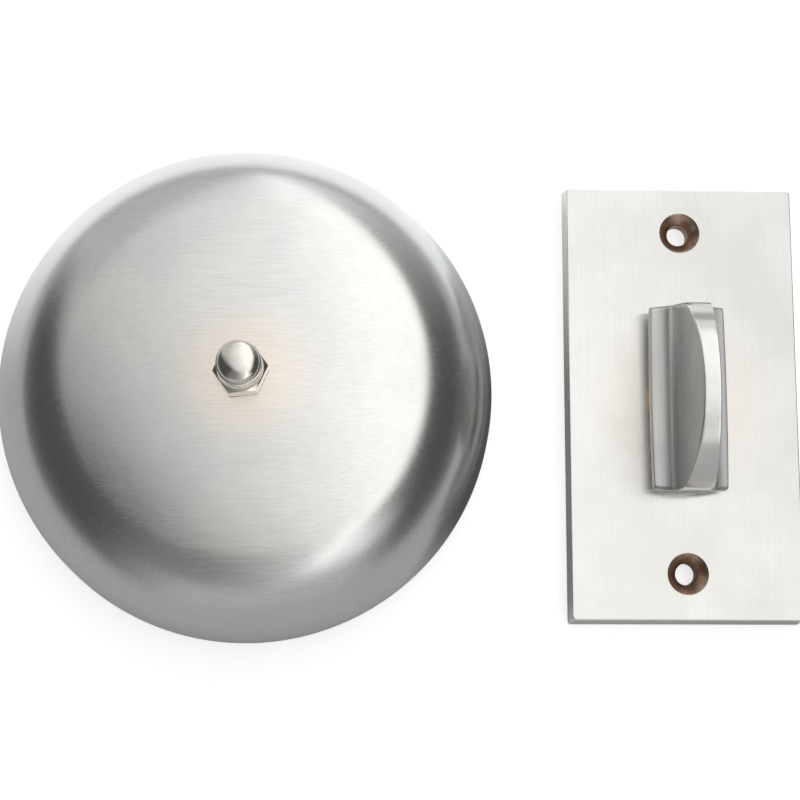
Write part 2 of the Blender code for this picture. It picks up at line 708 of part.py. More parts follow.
def make_turn_knob(axis):
    full_height = turn_edge + turn_height + 1
    lean = 2 * full_height * tan(turn_end_draft)
    foot = barrel_outline(turn_length, turn_width, turn_end_bulge, turn_side_bulge)
    head = barrel_outline(turn_length - lean, turn_width, turn_end_bulge, turn_side_bulge)
    block = loft([(foot, turn_bottom), (head, turn_bottom + full_height)])
    knob = make_object("turn_knob", block, axis, finish=satin_nickel)
    combine(knob, make_object("turn_arch", arch_cutter(), axis), "INTERSECT")
    for name, side in (("scoop_left", -1), ("scoop_right", 1)):
        combine(knob, make_object(name, scoop_cutter(side), axis), "DIFFERENCE")
    boss = boss_diameter / 2
    spigot_hole = shank_spigot_diameter / 2 + fit_gap
    boss_profile = [(0, boss_bottom), (boss, boss_bottom), (boss, turn_bottom + turn_edge / 2),
                    (0, turn_bottom + turn_edge / 2)]
    combine(knob, make_object("turn_boss", turned(boss_profile, 32), axis), "UNION")
    bore_top = shank_shoulder + shank_spigot_depth + seat_gap
    bore = [(0, boss_bottom - 1), (spigot_hole, boss_bottom - 1), (spigot_hole, bore_top), (0, bore_top)]
    combine(knob, make_object("turn_bore", turned(bore, 24), axis), "DIFFERENCE")


def arch_cutter(steps=38):
    # A drum lying across the turn, whose upper side is the arched top of the ridge.
    drop = turn_height - turn_end_height
    half = turn_length / 2
    radius = (half**2 + drop**2) / (2 * drop)
    centre = turn_shelf + turn_height - radius
    top = circle(radius, steps, (0, centre), 0, pi)
    outline = [*top, (-radius, turn_bottom - 5), (radius, turn_bottom - 5)]
    across = turn_width
    builder = loft([(outline, -across), (outline, across)])
    bmesh.ops.transform(builder, matrix=Matrix(((0, 0, 1, 0), (1, 0, 0, 0), (0, 1, 0, 0), (0, 0, 0, 1))),
                        verts=builder.verts)
    return builder


def scoop_cutter(side, steps=10):
    # Hollows one flank: from a shallow foot at the side, round a small radius and up the ridge.
    foot = (turn_width / 2, turn_shelf)
    centre = (foot[0] + scoop_radius * sin(scoop_foot), foot[1] + scoop_radius * cos(scoop_foot))
    start = -pi / 2 - scoop_foot
    outline = circle(scoop_radius, steps, centre, start, -(pi / 2 - flank_lean - scoop_foot))
    overrun = turn_height
    outline.insert(0, (foot[0] + overrun * cos(scoop_foot), foot[1] - overrun * sin(scoop_foot)))
    above = turn_shelf + turn_height + 2
    rise = above - outline[-1][1]
    outline.append((outline[-1][0] - rise * tan(flank_lean), above))
    outline.append((outline[0][0], above))
    outline = [(side * across, height) for across, height in outline]
    half = turn_length
    builder = loft([(outline, -half), (outline, half)])
    bmesh.ops.transform(builder, matrix=Matrix(((1, 0, 0, 0), (0, 0, 1, 0), (0, 1, 0, 0), (0, 0, 0, 1))),
                        verts=builder.verts)
    return builder


def make_turn_shank(axis):
    journal = shank_diameter / 2
    spigot = shank_spigot_diameter / 2
    groove = groove_diameter / 2
    groove_bottom = clip_lift - fit_gap
    groove_top = clip_lift + clip_thickness + fit_gap
    spigot_top = shank_shoulder + shank_spigot_depth
    profile = [(0, shank_end_gap), (journal, shank_end_gap), (journal, groove_bottom),
               (groove, groove_bottom), (groove, groove_top), (journal, groove_top),
               (journal, shank_shoulder), (spigot, shank_shoulder), (spigot, spigot_top), (0, spigot_top)]
    shank = make_object("turn_shank", turned(profile, 28), axis, finish=bright_steel)
    socket = square_socket("turn_socket", axis, (0, 0, shank_end_gap), turn_socket_depth - shank_end_gap)
    combine(shank, socket, "DIFFERENCE")
    bore = journal + fit_gap
    outer = thrust_washer_diameter / 2
    top = washer_bottom + thrust_washer_thickness
    washer = [(bore, washer_bottom), (outer, washer_bottom), (outer, top), (bore, top)]
    make_object("thrust_washer", turned(washer, 24), axis, finish=rolled_brass)


def make_retaining_clip(axis):
    # An open ring that snaps into the groove of the shank.
    outer = clip_diameter / 2
    inner = groove_diameter / 2 + fit_gap
    start = clip_opening / 2
    sweep = 2 * pi - clip_opening
    outline = circle(outer, 20, (0, 0), start, sweep)
    outline += circle(inner, 20, (0, 0), start, sweep)[::-1]
    make_object("retaining_clip", sheet(outline, [], clip_lift, clip_lift + clip_thickness), axis,
                turn=-pi / 2, finish=spring_steel)


def make_wave_washer(axis, steps=36):
    # A thin ring that rises and falls, pressed between the clip and the floor of the recess.
    bottom = clip_lift + clip_thickness + seat_gap
    top = recess_depth - seat_gap
    swing = (top - bottom - wave_washer_thickness) / 2
    middle = (top + bottom) / 2
    radii = (shank_diameter / 2 + 2 * fit_gap, wave_washer_diameter / 2)
    builder = bmesh.new()
    rings = []
    for radius, side in ((radii[0], -1), (radii[1], -1), (radii[1], 1), (radii[0], 1)):
        ring = []
        for x, y in circle(radius, steps):
            wave = swing * cos(waves * atan2(y, x))
            ring.append(builder.verts.new((x, y, middle + wave + side * wave_washer_thickness / 2)))
        rings.append(ring)
    for lower, upper in zip(rings, rings[1:] + rings[:1]):
        for step in range(steps):
            after = (step + 1) % steps
            builder.faces.new((lower[step], lower[after], upper[after], upper[step]))
    make_object("wave_washer", builder, axis, finish=spring_steel)


def build():
    clear_scene()
    gong_unit = make_empty("gong_unit", (gong_x, 0, 0))
    make_base_plate(gong_unit)
    make_post(gong_unit)
    make_drive_bush(gong_unit)
    make_bridge(gong_unit)
    make_drive(make_empty("drive_axis", (*drive_place, 0), gong_unit))
    make_layshaft(make_empty("layshaft_axis", (*layshaft_place, 0), gong_unit))
    make_rotor(make_empty("rotor_axis", (0, 0, 0), gong_unit))
    make_gong_seat(gong_unit)
    make_gong(gong_unit)
    make_dome_nut(gong_unit)
    turn_unit = make_empty("turn_unit", (plate_x, 0, 0))
    make_turn_plate(turn_unit)
    turn_axis = make_empty("turn_axis", (0, 0, 0), turn_unit)
    make_turn_knob(turn_axis)
    make_turn_shank(turn_axis)
    make_retaining_clip(turn_axis)
    make_wave_washer(turn_unit)
    even_shading()


build()
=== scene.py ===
# Hand-turned door bell: fine shapes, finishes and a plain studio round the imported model.
import json
from math import asin, atan2, cos, pi, radians, sin, sqrt, tan

import bmesh
import bpy
from mathutils import Matrix, Vector


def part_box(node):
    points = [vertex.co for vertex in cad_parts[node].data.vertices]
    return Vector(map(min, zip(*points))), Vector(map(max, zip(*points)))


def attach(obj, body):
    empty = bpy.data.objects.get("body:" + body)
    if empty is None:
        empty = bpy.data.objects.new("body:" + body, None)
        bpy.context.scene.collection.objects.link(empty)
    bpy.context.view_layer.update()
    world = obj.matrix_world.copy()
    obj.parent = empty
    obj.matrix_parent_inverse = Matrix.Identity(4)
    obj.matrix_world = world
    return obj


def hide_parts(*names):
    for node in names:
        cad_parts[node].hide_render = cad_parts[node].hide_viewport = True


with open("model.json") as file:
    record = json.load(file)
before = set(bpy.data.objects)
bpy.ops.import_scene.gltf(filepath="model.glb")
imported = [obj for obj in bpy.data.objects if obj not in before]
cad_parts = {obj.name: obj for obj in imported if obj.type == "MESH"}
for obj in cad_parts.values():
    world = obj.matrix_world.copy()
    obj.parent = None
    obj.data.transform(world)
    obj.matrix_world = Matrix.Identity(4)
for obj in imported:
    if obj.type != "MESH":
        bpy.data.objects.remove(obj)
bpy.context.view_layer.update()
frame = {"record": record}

mm = 0.001
weldGap = 0.0005  # points nearer than this are one, mm
bodyOf = {node: body for body, nodes in frame["record"]["behaviour"]["bodies"].items() for node in nodes}
slotOf = {row["node"]: row["material_slot"] for row in frame["record"]["subparts"]}
bellX = -36.0  # axis of the gong, mm
plateX = 64.9  # axis of the turn, mm


# Node helpers

def startMaterial(name):
    material = bpy.data.materials.new(name)
    material.use_nodes = True
    tree = material.node_tree
    return material, tree, tree.nodes["Principled BSDF"]


def addNode(tree, kind, inputs=None, **settings):
    node = tree.nodes.new(kind)
    for key, value in settings.items():
        setattr(node, key, value)
    for key, value in (inputs or {}).items():
        if isinstance(value, bpy.types.NodeSocket):
            tree.links.new(value, node.inputs[key])
        else:
            node.inputs[key].default_value = value
    return node


def calc(tree, operation, first, second=0.0):
    return addNode(tree, "ShaderNodeMath", {0: first, 1: second}, operation=operation).outputs[0]


def times(tree, first, second):
    return calc(tree, "MULTIPLY", first, second)


def plus(tree, first, second):
    return calc(tree, "ADD", first, second)


def minus(tree, first, second):
    return calc(tree, "SUBTRACT", first, second)


def over(tree, first, second):
    return calc(tree, "DIVIDE", first, second)


def blend(tree, share, first, second):
    return plus(tree, first, times(tree, share, minus(tree, second, first)))


def splitPoint(tree, point):
    return addNode(tree, "ShaderNodeSeparateXYZ", {0: point}).outputs


def joinPoint(tree, x, y, z):
    return addNode(tree, "ShaderNodeCombineXYZ", {0: x, 1: y, 2: z}).outputs[0]


def greyTone(tree, tone):
    return joinPoint(tree, tone, tone, tone)


def flatReach(tree, x, y):
    # Distance from an upright axis.
    return calc(tree, "SQRT", plus(tree, times(tree, x, x), times(tree, y, y)))


def ramp(tree, value, low, high, start=0.0, end=1.0, smooth=True):
    node = addNode(tree, "ShaderNodeMapRange", {0: value, 1: low, 2: high, 3: start, 4: end})
    node.interpolation_type = "SMOOTHSTEP" if smooth else "LINEAR"
    return node.outputs[0]


def mixColour(tree, factor, first, second, blend="MIX"):
    node = addNode(tree, "ShaderNodeMix", {0: factor}, data_type="RGBA", blend_type=blend)
    for index, colour in ((6, first), (7, second)):
        if isinstance(colour, bpy.types.NodeSocket):
            tree.links.new(colour, node.inputs[index])
        else:
            node.inputs[index].default_value = (*colour, 1)
    return node.outputs[2]


def noise(tree, place, scale, detail=3.0, rough=0.55, seed=0.0):
    return addNode(tree, "ShaderNodeTexNoise", {"Vector": place, "W": seed, "Scale": scale, "Detail": detail,
        "Roughness": rough}, noise_dimensions="4D").outputs[0]


def pointOn(tree, centre, stretch=(1, 1, 1), turn=0.0):
    # Object coordinates about a centre in mm, stretched along the grain.
    source = addNode(tree, "ShaderNodeTexCoord").outputs["Object"]
    middle = addNode(tree, "ShaderNodeMapping", {0: source, 1: [-value * mm for value in centre]})
    return addNode(tree, "ShaderNodeMapping", {0: middle.outputs[0], 2: (0, 0, turn), 3: stretch}).outputs[0]


def ringPoint(tree, centre, alongScale, acrossScale):
    # Coordinates that run round an axis: angle, radius and height.
    x, y, z = splitPoint(tree, pointOn(tree, centre))
    around = times(tree, calc(tree, "SINE", calc(tree, "ARCTAN2", y, x)), alongScale)
    reach = times(tree, flatReach(tree, x, y), acrossScale)
    return joinPoint(tree, around, reach, times(tree, z, acrossScale))


# Finishes

def brushedFinish(name, look):
    # Plated or plain metal with a brushed grain, cloudy patches, brighter worn edges and, on the plate, a
    # painted shade from one side to the other.
    material, tree, shader = startMaterial(name)
    centre = look["centre"]
    fine, along = look["grainFineness"], look["grainLength"]
    if look["grain"] == "ring":
        grainPoint = ringPoint(tree, centre, along, fine)
    else:
        stretch = [fine, fine, fine]
        stretch["xyz".index(look["grain"])] = along
        grainPoint = pointOn(tree, centre, stretch)
    grain = noise(tree, grainPoint, 1.0, 4.0, 0.6, 1.0)
    cloud = noise(tree, pointOn(tree, centre), look["cloudScale"], 4.0, 0.6, 7.0)
    cloudShare = ramp(tree, cloud, 0.35, 0.65, 0.0, look["cloudDepth"])
    colour = mixColour(tree, cloudShare, look["colour"], look["cloudColour"])
    if "zones" in look:
        x, y = splitPoint(tree, pointOn(tree, centre))[:2]
        reach = flatReach(tree, x, y)
        for tint, near, far, share in look["zones"]:
            part = ramp(tree, reach, near * mm, far * mm, share, 0.0)
            colour = mixColour(tree, part, colour, tint)
    if "paintedShade" in look:
        # Painted shade: a slow change of tone over the face, lighter on one side and darker on the other as the
        # light falls: share of x, share of y, half width in mm, first and last tone.
        acrossShare, alongShare, half, first, last = look["paintedShade"]
        x, y = splitPoint(tree, pointOn(tree, centre))[:2]
        place = plus(tree, times(tree, x, acrossShare), times(tree, y, alongShare))
        tone = ramp(tree, place, -half * mm, half * mm, first, last, False)
        colour = mixColour(tree, 1.0, colour, greyTone(tree, tone), "MULTIPLY")
    grainTone = ramp(tree, grain, 0.3, 0.7, 1 - look["grainTone"], 1 + look["grainTone"], False)
    colour = mixColour(tree, 1.0, colour, greyTone(tree, grainTone), "MULTIPLY")
    if look.get("edgeWear"):
        edge = addNode(tree, "ShaderNodeNewGeometry").outputs["Pointiness"]
        colour = mixColour(tree, ramp(tree, edge, 0.51, 0.58, 0.0, look["edgeWear"]), colour,
            look["edgeColour"])
    tree.links.new(colour, shader.inputs["Base Color"])
    shader.inputs["Metallic"].default_value = 1.0
    rough = plus(tree, ramp(tree, grain, 0.25, 0.75, look["roughness"] - look["roughSpread"], look["roughness"]
        + look["roughSpread"], False), ramp(tree, cloud, 0.35, 0.65, 0.0, look["roughSpread"]))
    tree.links.new(rough, shader.inputs["Roughness"])
    bump = addNode(tree, "ShaderNodeBump", {"Strength": look["bump"], "Distance": look["bumpDepth"] * mm,
        "Height": grain})
    tree.links.new(bump.outputs[0], shader.inputs["Normal"])
    if look.get("streak"):
        # Fine brush marks spread a reflection across the grain and leave it sharp along it.
        shader.inputs["Anisotropic"].default_value = look["streak"]
        across = addNode(tree, "ShaderNodeTangent", direction_type="UV_MAP", uv_map="acrossGrain")
        tree.links.new(across.outputs[0], shader.inputs["Tangent"])
    return material


def fibreFinish(name, look):
    material, tree, shader = startMaterial(name)
    speck = noise(tree, pointOn(tree, (bellX, 0, 0)), look["speckScale"], 5.0, 0.7, 2.0)
    colour = mixColour(tree, ramp(tree, speck, 0.4, 0.62), look["colour"], look["speckColour"])
    tree.links.new(colour, shader.inputs["Base Color"])
    tree.links.new(ramp(tree, speck, 0.3, 0.7, look["roughness"] - 0.08, look["roughness"] + 0.08),
        shader.inputs["Roughness"])
    bump = addNode(tree, "ShaderNodeBump", {"Strength": 0.4, "Distance": 0.05 * mm, "Height": speck})
    tree.links.new(bump.outputs[0], shader.inputs["Normal"])
    return material


commonLook = {"grainTone": 0.06, "roughSpread": 0.06, "bump": 0.20, "bumpDepth": 0.012}
gongLook = {**commonLook, "centre": (bellX, 0, 0), "grain": "x", "grainFineness": 3200, "grainLength": 60,
    "colour": (0.73, 0.72, 0.695), "cloudColour": (0.66, 0.67, 0.66), "cloudScale": 45, "cloudDepth": 0.75,
    "zones": [((0.66, 0.685, 0.71), 58.0, 36.0, 0.80), ((0.86, 0.76, 0.66), 5.0, 19.0, 0.70)],
    "grainTone": 0.07, "roughness": 0.215, "roughSpread": 0.04, "bump": 0.22, "streak": 0.45}
# The plate's colour carries a painted shade: lighter towards the lower left and darker towards the upper right.
plateLook = {**commonLook, "centre": (plateX, 0, 0), "grain": "y", "grainFineness": 3600, "grainLength": 45,
    "colour": (0.83, 0.82, 0.79), "cloudColour": (0.79, 0.77, 0.73), "cloudScale": 38, "cloudDepth": 0.5,
    "zones": [((0.82, 0.74, 0.67), 13.0, 24.0, 0.40)], "paintedShade": (1.0, 0.35, 34.0, 1.07, 0.86),
    "grainTone": 0.075, "roughness": 0.22, "roughSpread": 0.04, "bump": 0.22, "streak": 0.95}
turnLook = {**commonLook, "centre": (plateX, 0, 0), "grain": "y", "grainFineness": 4200, "grainLength": 70,
    "colour": (0.74, 0.73, 0.70), "cloudColour": (0.655, 0.67, 0.665), "cloudScale": 70, "cloudDepth": 0.8,
    "grainTone": 0.05, "roughness": 0.23, "roughSpread": 0.03, "bumpDepth": 0.010, "streak": 0.93,
    "edgeWear": 0.5, "edgeColour": (0.78, 0.76, 0.72)}
# The plate's upright sides: a slightly rougher finish and a darker colour, the darker colour being painted
# shade.
paintedShadeSideLook = {**plateLook, "colour": (0.66, 0.66, 0.65), "roughness": 0.24, "roughSpread": 0.04, "streak": 0.3}
# The plate's bevel: a smoother, rubbed finish and a lighter colour, the lighter colour being a painted
# highlight.
edgeAndHighlightLook = {**plateLook, "colour": (0.90, 0.885, 0.85), "roughness": 0.18, "roughSpread": 0.02, "streak": 0.5}
ridgeLook = {**turnLook, "roughness": 0.17, "roughSpread": 0.03, "streak": 0.6}
nutLook = {**commonLook, "centre": (bellX, 0, 0), "grain": "ring", "grainFineness": 3000, "grainLength": 3,
    "colour": (0.80, 0.77, 0.72), "cloudColour": (0.66, 0.61, 0.55), "cloudScale": 160, "cloudDepth": 0.6,
    "grainTone": 0.05, "roughness": 0.10, "roughSpread": 0.03, "bump": 0.15, "bumpDepth": 0.008,
    "edgeWear": 0.5, "edgeColour": (0.78, 0.74, 0.68)}
zincLook = {**commonLook, "centre": (bellX, 0, 0), "grain": "x", "grainFineness": 1500, "grainLength": 60,
    "colour": (0.58, 0.60, 0.62), "cloudColour": (0.52, 0.56, 0.62), "cloudScale": 70, "cloudDepth": 0.8,
    "roughness": 0.36, "roughSpread": 0.07, "bumpDepth": 0.015, "edgeWear": 0.4, "edgeColour": (0.70, 0.71,
    0.72)}
steelLook = {**commonLook, "centre": (bellX, 0, 0), "grain": "z", "grainFineness": 400, "grainLength": 5200,
    "colour": (0.56, 0.57, 0.58), "cloudColour": (0.50, 0.50, 0.49), "cloudScale": 150, "cloudDepth": 0.5,
    "roughness": 0.26, "bump": 0.25, "edgeWear": 0.4, "edgeColour": (0.68, 0.68, 0.68)}
springLook = {**commonLook, "centre": (plateX, 0, 0), "grain": "ring", "grainFineness": 2200, "grainLength": 3,
    "colour": (0.24, 0.25, 0.28), "cloudColour": (0.20, 0.20, 0.24), "cloudScale": 120, "cloudDepth": 0.7,
    "grainTone": 0.08, "roughness": 0.38, "edgeWear": 0.6, "edgeColour": (0.50, 0.50, 0.51)}
brassLook = {**commonLook, "centre": (bellX, 0, 0), "grain": "x", "grainFineness": 2600, "grainLength": 90,
    "colour": (0.72, 0.53, 0.25), "cloudColour": (0.60, 0.41, 0.18), "cloudScale": 110, "cloudDepth": 0.6,
    "roughness": 0.30, "edgeWear": 0.5, "edgeColour": (0.84, 0.68, 0.40)}
sinkLook = {**commonLook, "centre": (plateX, 0, 0), "grain": "z", "grainFineness": 500, "grainLength": 5200,
    "colour": (0.52, 0.40, 0.32), "cloudColour": (0.30, 0.18, 0.12), "cloudScale": 420, "cloudDepth": 0.85,
    "grainTone": 0.10, "roughness": 0.30, "bump": 0.30, "bumpDepth": 0.015}
fibreLook = {"colour": (0.30, 0.07, 0.05), "speckColour": (0.20, 0.05, 0.04), "speckScale": 900,
    "roughness": 0.72}

finishes = {"gong": brushedFinish("satinNickelGong", gongLook), "dome_nut": brushedFinish("satinNickelNut",
    nutLook), "turn_plate": brushedFinish("satinNickelPlate", plateLook),
    "turn": brushedFinish("satinNickelTurn", turnLook), "zinc_plate": brushedFinish("zincPlatedSteel",
    zincLook), "bright_steel": brushedFinish("brightSteel", steelLook),
    "spring_steel": brushedFinish("blueSpringSteel", springLook), "brass": brushedFinish("rolledBrass",
    brassLook), "fibre": fibreFinish("redFibre", fibreLook)}
bareBrass = brushedFinish("tarnishedCountersink", sinkLook)
polishedRidge = brushedFinish("satinNickelRidge", ridgeLook)
paintedShadeSide = brushedFinish("satinNickelSidePaintedShade", paintedShadeSideLook)
wornEdgeAndHighlight = brushedFinish("satinNickelEdgeAndHighlight", edgeAndHighlightLook)
grainOf = {"gong": gongLook["grain"], "turn_plate": plateLook["grain"], "turn": turnLook["grain"]}
print("finishes made:", len(finishes) + 4)


# Mesh helpers, in mm

def addObject(name, data):
    made = bpy.data.objects.new(name, data)
    bpy.context.scene.collection.objects.link(made)
    return made


def keepMesh(name, mesh, node, angle=35, flatArea=0):
    # The finished mesh takes the node's finish, rides on its body and stands for it.
    mesh.transform(Matrix.Scale(mm, 4))
    if not mesh.materials:
        mesh.materials.append(finishes[slotOf[node]])
    mesh.shade_smooth()
    mesh.set_sharp_from_angle(angle=radians(angle))
    if flatArea:
        for face in mesh.polygons:
            face.use_smooth = face.area < flatArea * mm * mm and face.normal.z < 0.999
    if slotOf[node] in grainOf:
        # The first direction of this map runs across the grain.
        along = "xy".index(grainOf[slotOf[node]])
        spread = mesh.uv_layers.new(name="acrossGrain")
        for corner in mesh.loops:
            place = mesh.vertices[corner.vertex_index].co
            spread.data[corner.index].uv = (place[1 - along] * 10, place[along] * 10)
    piece = addObject(name, mesh)
    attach(piece, bodyOf[node])
    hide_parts(node)
    return piece


def shaped(target, steps):
    # Cuts and joins solids in order, then gives the plain mesh; the solids are taken away again.
    base = addObject("base", target)
    helpers = [base]
    for number, (operation, mesh) in enumerate(steps):
        helper = addObject(f"helper{number}", mesh)
        helpers.append(helper)
        change = base.modifiers.new(f"step{number}", "BOOLEAN")
        change.operation, change.solver, change.object = operation, "EXACT", helper
        change.material_mode = "TRANSFER"
    bpy.context.view_layer.update()
    mesh = bpy.data.meshes.new_from_object(base.evaluated_get(bpy.context.evaluated_depsgraph_get()))
    for helper in helpers:
        bpy.data.objects.remove(helper, do_unlink=True)
    return mesh


def plainMesh(builder, finish=None, move=(0, 0, 0), turn=0.0):
    bmesh.ops.remove_doubles(builder, verts=builder.verts, dist=weldGap)
    bmesh.ops.recalc_face_normals(builder, faces=builder.faces)
    mesh = bpy.data.meshes.new("plain")
    builder.to_mesh(mesh)
    builder.free()
    mesh.transform(Matrix.Translation(move) @ Matrix.Rotation(turn, 4, "Z"))
    if finish:
        mesh.materials.append(finish)
    return mesh


def arc(radius, steps, centre=(0, 0), start=0.0, sweep=2 * pi):
    count = steps if abs(abs(sweep) - 2 * pi) < 1e-9 else steps + 1
    return [(centre[0] + radius * cos(start + sweep * step / steps), centre[1] + radius * sin(start
        + sweep * step / steps)) for step in range(count)]


def eased(points, radius, steps=4, closed=True, limit=25):
    # Rounds the corners of an outline that turn by more than the limit.
    made = []
    for index, (x, y) in enumerate(points):
        before, after = points[index - 1], points[(index + 1) % len(points)]
        arrive, leave = Vector((x - before[0], y - before[1])), Vector((after[0] - x, after[1] - y))
        ends = not closed and index in (0, len(points) - 1)
        if ends or arrive.length < 1e-6 or leave.length < 1e-6 or arrive.angle(leave) < radians(limit):
            made.append((x, y))
            continue
        size = min(radius, arrive.length * 0.45, leave.length * 0.45)
        first = Vector((x, y)) - arrive.normalized() * size
        last = Vector((x, y)) + leave.normalized() * size
        for step in range(steps + 1):
            share = step / steps
            spot = first * (1 - share)**2 + Vector((x, y)) * 2 * share * (1 - share) + last * share**2
            made.append((spot.x, spot.y))
    return made


def turned(profile, sides=128, centre=(0, 0)):
    builder = bmesh.new()
    rings = [[builder.verts.new((centre[0] + x, centre[1] + y, height)) for x, y in arc(radius, sides)]
        if radius > 1e-6 else [builder.verts.new((*centre, height))] for radius, height in profile]
    for lower, upper in zip(rings, rings[1:] + rings[:1]):
        for side in range(sides):
            after = (side + 1) % sides
            corners = [lower[side % len(lower)], lower[after % len(lower)], upper[after % len(upper)],
                upper[side % len(upper)]]
            unique = list(dict.fromkeys(corners))
            if len(unique) > 2:
                builder.faces.new(unique)
    return builder


def loft(loops):
    builder = bmesh.new()
    rings = [[builder.verts.new(point) for point in loop] for loop in loops]
    for lower, upper in zip(rings, rings[1:]):
        for step in range(len(lower)):
            after = (step + 1) % len(lower)
            builder.faces.new((lower[step], lower[after], upper[after], upper[step]))
    builder.faces.new(rings[0][::-1])
    builder.faces.new(rings[-1])
    return builder


# Turned shapes by Geometry Nodes: a profile of radius and height swept round an upright axis

def makeLatheTree():
    tree = bpy.data.node_groups.new("turnOnAxis", "GeometryNodeTree")
    face = tree.interface
    face.new_socket("Profile", in_out="INPUT", socket_type="NodeSocketGeometry")
    for label, kind in (("Sides", "NodeSocketInt"), ("Axis", "NodeSocketVector"), ("Finish",
            "NodeSocketMaterial")):
        face.new_socket(label, in_out="INPUT", socket_type=kind)
    face.new_socket("Turned", in_out="OUTPUT", socket_type="NodeSocketGeometry")
    given = addNode(tree, "NodeGroupInput").outputs
    count = addNode(tree, "GeometryNodeAttributeDomainSize", {0: given["Profile"]}).outputs[0]
    columns = plus(tree, given["Sides"], 1.0)
    grid = addNode(tree, "GeometryNodeMeshGrid", {"Vertices X": count, "Vertices Y": columns})
    index = addNode(tree, "GeometryNodeInputIndex").outputs[0]
    row = calc(tree, "FLOOR", over(tree, index, columns))
    column = minus(tree, index, times(tree, row, columns))
    sample = addNode(tree, "GeometryNodeSampleIndex", data_type="FLOAT_VECTOR")
    tree.links.new(given["Profile"], sample.inputs[0])
    tree.links.new(addNode(tree, "GeometryNodeInputPosition").outputs[0], sample.inputs["Value"])
    tree.links.new(row, sample.inputs["Index"])
    point = splitPoint(tree, sample.outputs[0])
    angle = times(tree, over(tree, column, given["Sides"]), 2 * pi)
    spot = joinPoint(tree, times(tree, point[0], calc(tree, "COSINE", angle)), times(tree, point[0], calc(tree,
        "SINE", angle)), point[2])
    placed = addNode(tree, "ShaderNodeVectorMath", {0: spot, 1: given["Axis"]}, operation="ADD").outputs[0]
    moved = addNode(tree, "GeometryNodeSetPosition", {0: grid.outputs[0], "Position": placed})
    welded = addNode(tree, "GeometryNodeMergeByDistance", {0: moved.outputs[0], "Distance": weldGap})
    real = addNode(tree, "GeometryNodeRealizeInstances", {0: welded.outputs[0]})
    coated = addNode(tree, "GeometryNodeSetMaterial", {0: real.outputs[0], "Material": given["Finish"]})
    out = addNode(tree, "NodeGroupOutput")
    tree.links.new(coated.outputs[0], out.inputs[0])
    return tree


latheTree = makeLatheTree()


def runTree(tree, base, values):
    # Gives the plain mesh that a tree makes, with the inputs set by their identifiers.
    holder = addObject("holder", base)
    worker = holder.modifiers.new("make", "NODES")
    worker.node_group = tree
    for item in tree.interface.items_tree:
        if item.item_type == "SOCKET" and item.in_out == "INPUT" and item.name in values:
            worker[item.identifier] = values[item.name]
    bpy.context.view_layer.update()
    mesh = bpy.data.meshes.new_from_object(holder.evaluated_get(bpy.context.evaluated_depsgraph_get()))
    bpy.data.objects.remove(holder, do_unlink=True)
    return mesh


def cleaned(mesh, shortest=0.0):
    # Turns the faces outwards, and drops edges that are shorter than the given length.
    builder = bmesh.new()
    builder.from_mesh(mesh)
    if shortest:
        bmesh.ops.dissolve_degenerate(builder, dist=shortest, edges=builder.edges)
    bmesh.ops.recalc_face_normals(builder, faces=builder.faces)
    builder.to_mesh(mesh)
    builder.free()
    return mesh


def latheMesh(profile, sides, axis, finish):
    # The profile closes on itself, so its first point comes again at the end.
    line = bpy.data.meshes.new("profile")
    loop = [(radius, 0, height) for radius, height in [*profile, profile[0]]]
    line.from_pydata(loop, [(step, step + 1) for step in range(len(loop) - 1)], [])
    mesh = runTree(latheTree, line, {"Sides": sides, "Axis": (axis[0], axis[1], 0), "Finish": finish})
    return cleaned(mesh, 0.0002)


# Gong

gongShape = {"diameter": 112.0, "height": 36.0, "wall": 1.8, "standoff": 2.5, "skirt": 10.0, "lean": 4.6,
    "shoulder": 24.0, "hole": 3.1, "rimEase": 0.4, "sides": 256, "lugReach": 46.6, "lugWidth": 5.0,
    "lugHeight": 3.4, "lugMiddle": 18.35, "lugAngles": (45, 225)}


def gongCurve(shape, inset, shoulderSteps, crownSteps):
    lean, radius, corner = radians(shape["lean"]), shape["diameter"] / 2, shape["shoulder"]
    centreR = radius - shape["skirt"] * tan(lean) - corner * cos(lean)
    centreZ = shape["skirt"] - corner * sin(lean)
    rise = shape["height"] - centreZ
    crown = (centreR**2 + rise**2 - corner**2) / (2 * (rise - corner))
    join = atan2(centreZ - shape["height"] + crown, centreR)
    points = [(radius - inset / cos(lean) - shape["rimEase"] * tan(lean), shape["rimEase"])]
    for step in range(shoulderSteps + 1):
        angle = lean + (join - lean) * step / shoulderSteps
        points.append((centreR + (corner - inset) * cos(angle), centreZ + (corner - inset) * sin(angle)))
    last = pi / 2 - asin(shape["hole"] / (crown - inset))
    for step in range(1, crownSteps + 1):
        angle = join + (last - join) * step / crownSteps
        points.append(((crown - inset) * cos(angle), shape["height"] - crown + (crown - inset) * sin(angle)))
    return [(r, z + shape["standoff"]) for r, z in points]


def makeGong(shape):
    outer = gongCurve(shape, 0, 40, 26)
    inner = gongCurve(shape, shape["wall"], 32, 16)
    ease, floor = shape["rimEase"], shape["standoff"]
    rimIn = arc(ease, 4, (inner[0][0] + ease, floor + ease), pi, pi / 2)
    rimOut = arc(ease, 4, (outer[0][0] - ease, floor + ease), 1.5 * pi, pi / 2)
    profile = inner[:0:-1] + rimIn + rimOut + outer[1:]
    shell = latheMesh(profile, shape["sides"], (bellX, 0), finishes["gong"])
    steps = []
    half, tall, middle = shape["lugWidth"] / 2, shape["lugHeight"] / 2, shape["lugMiddle"]
    for angle in shape["lugAngles"]:
        side = eased([(shape["lugReach"], -half), (51.9, -half), (51.9, half), (shape["lugReach"], half)], 0.5)
        lug = loft([[(x, y, z) for x, y in side] for z in (middle - tall, middle + tall)])
        steps.append(("UNION", plainMesh(lug, finishes["gong"], (bellX, 0, 0), radians(angle))))
    return keepMesh("gong_shell", shaped(shell, steps), "gong", 40)


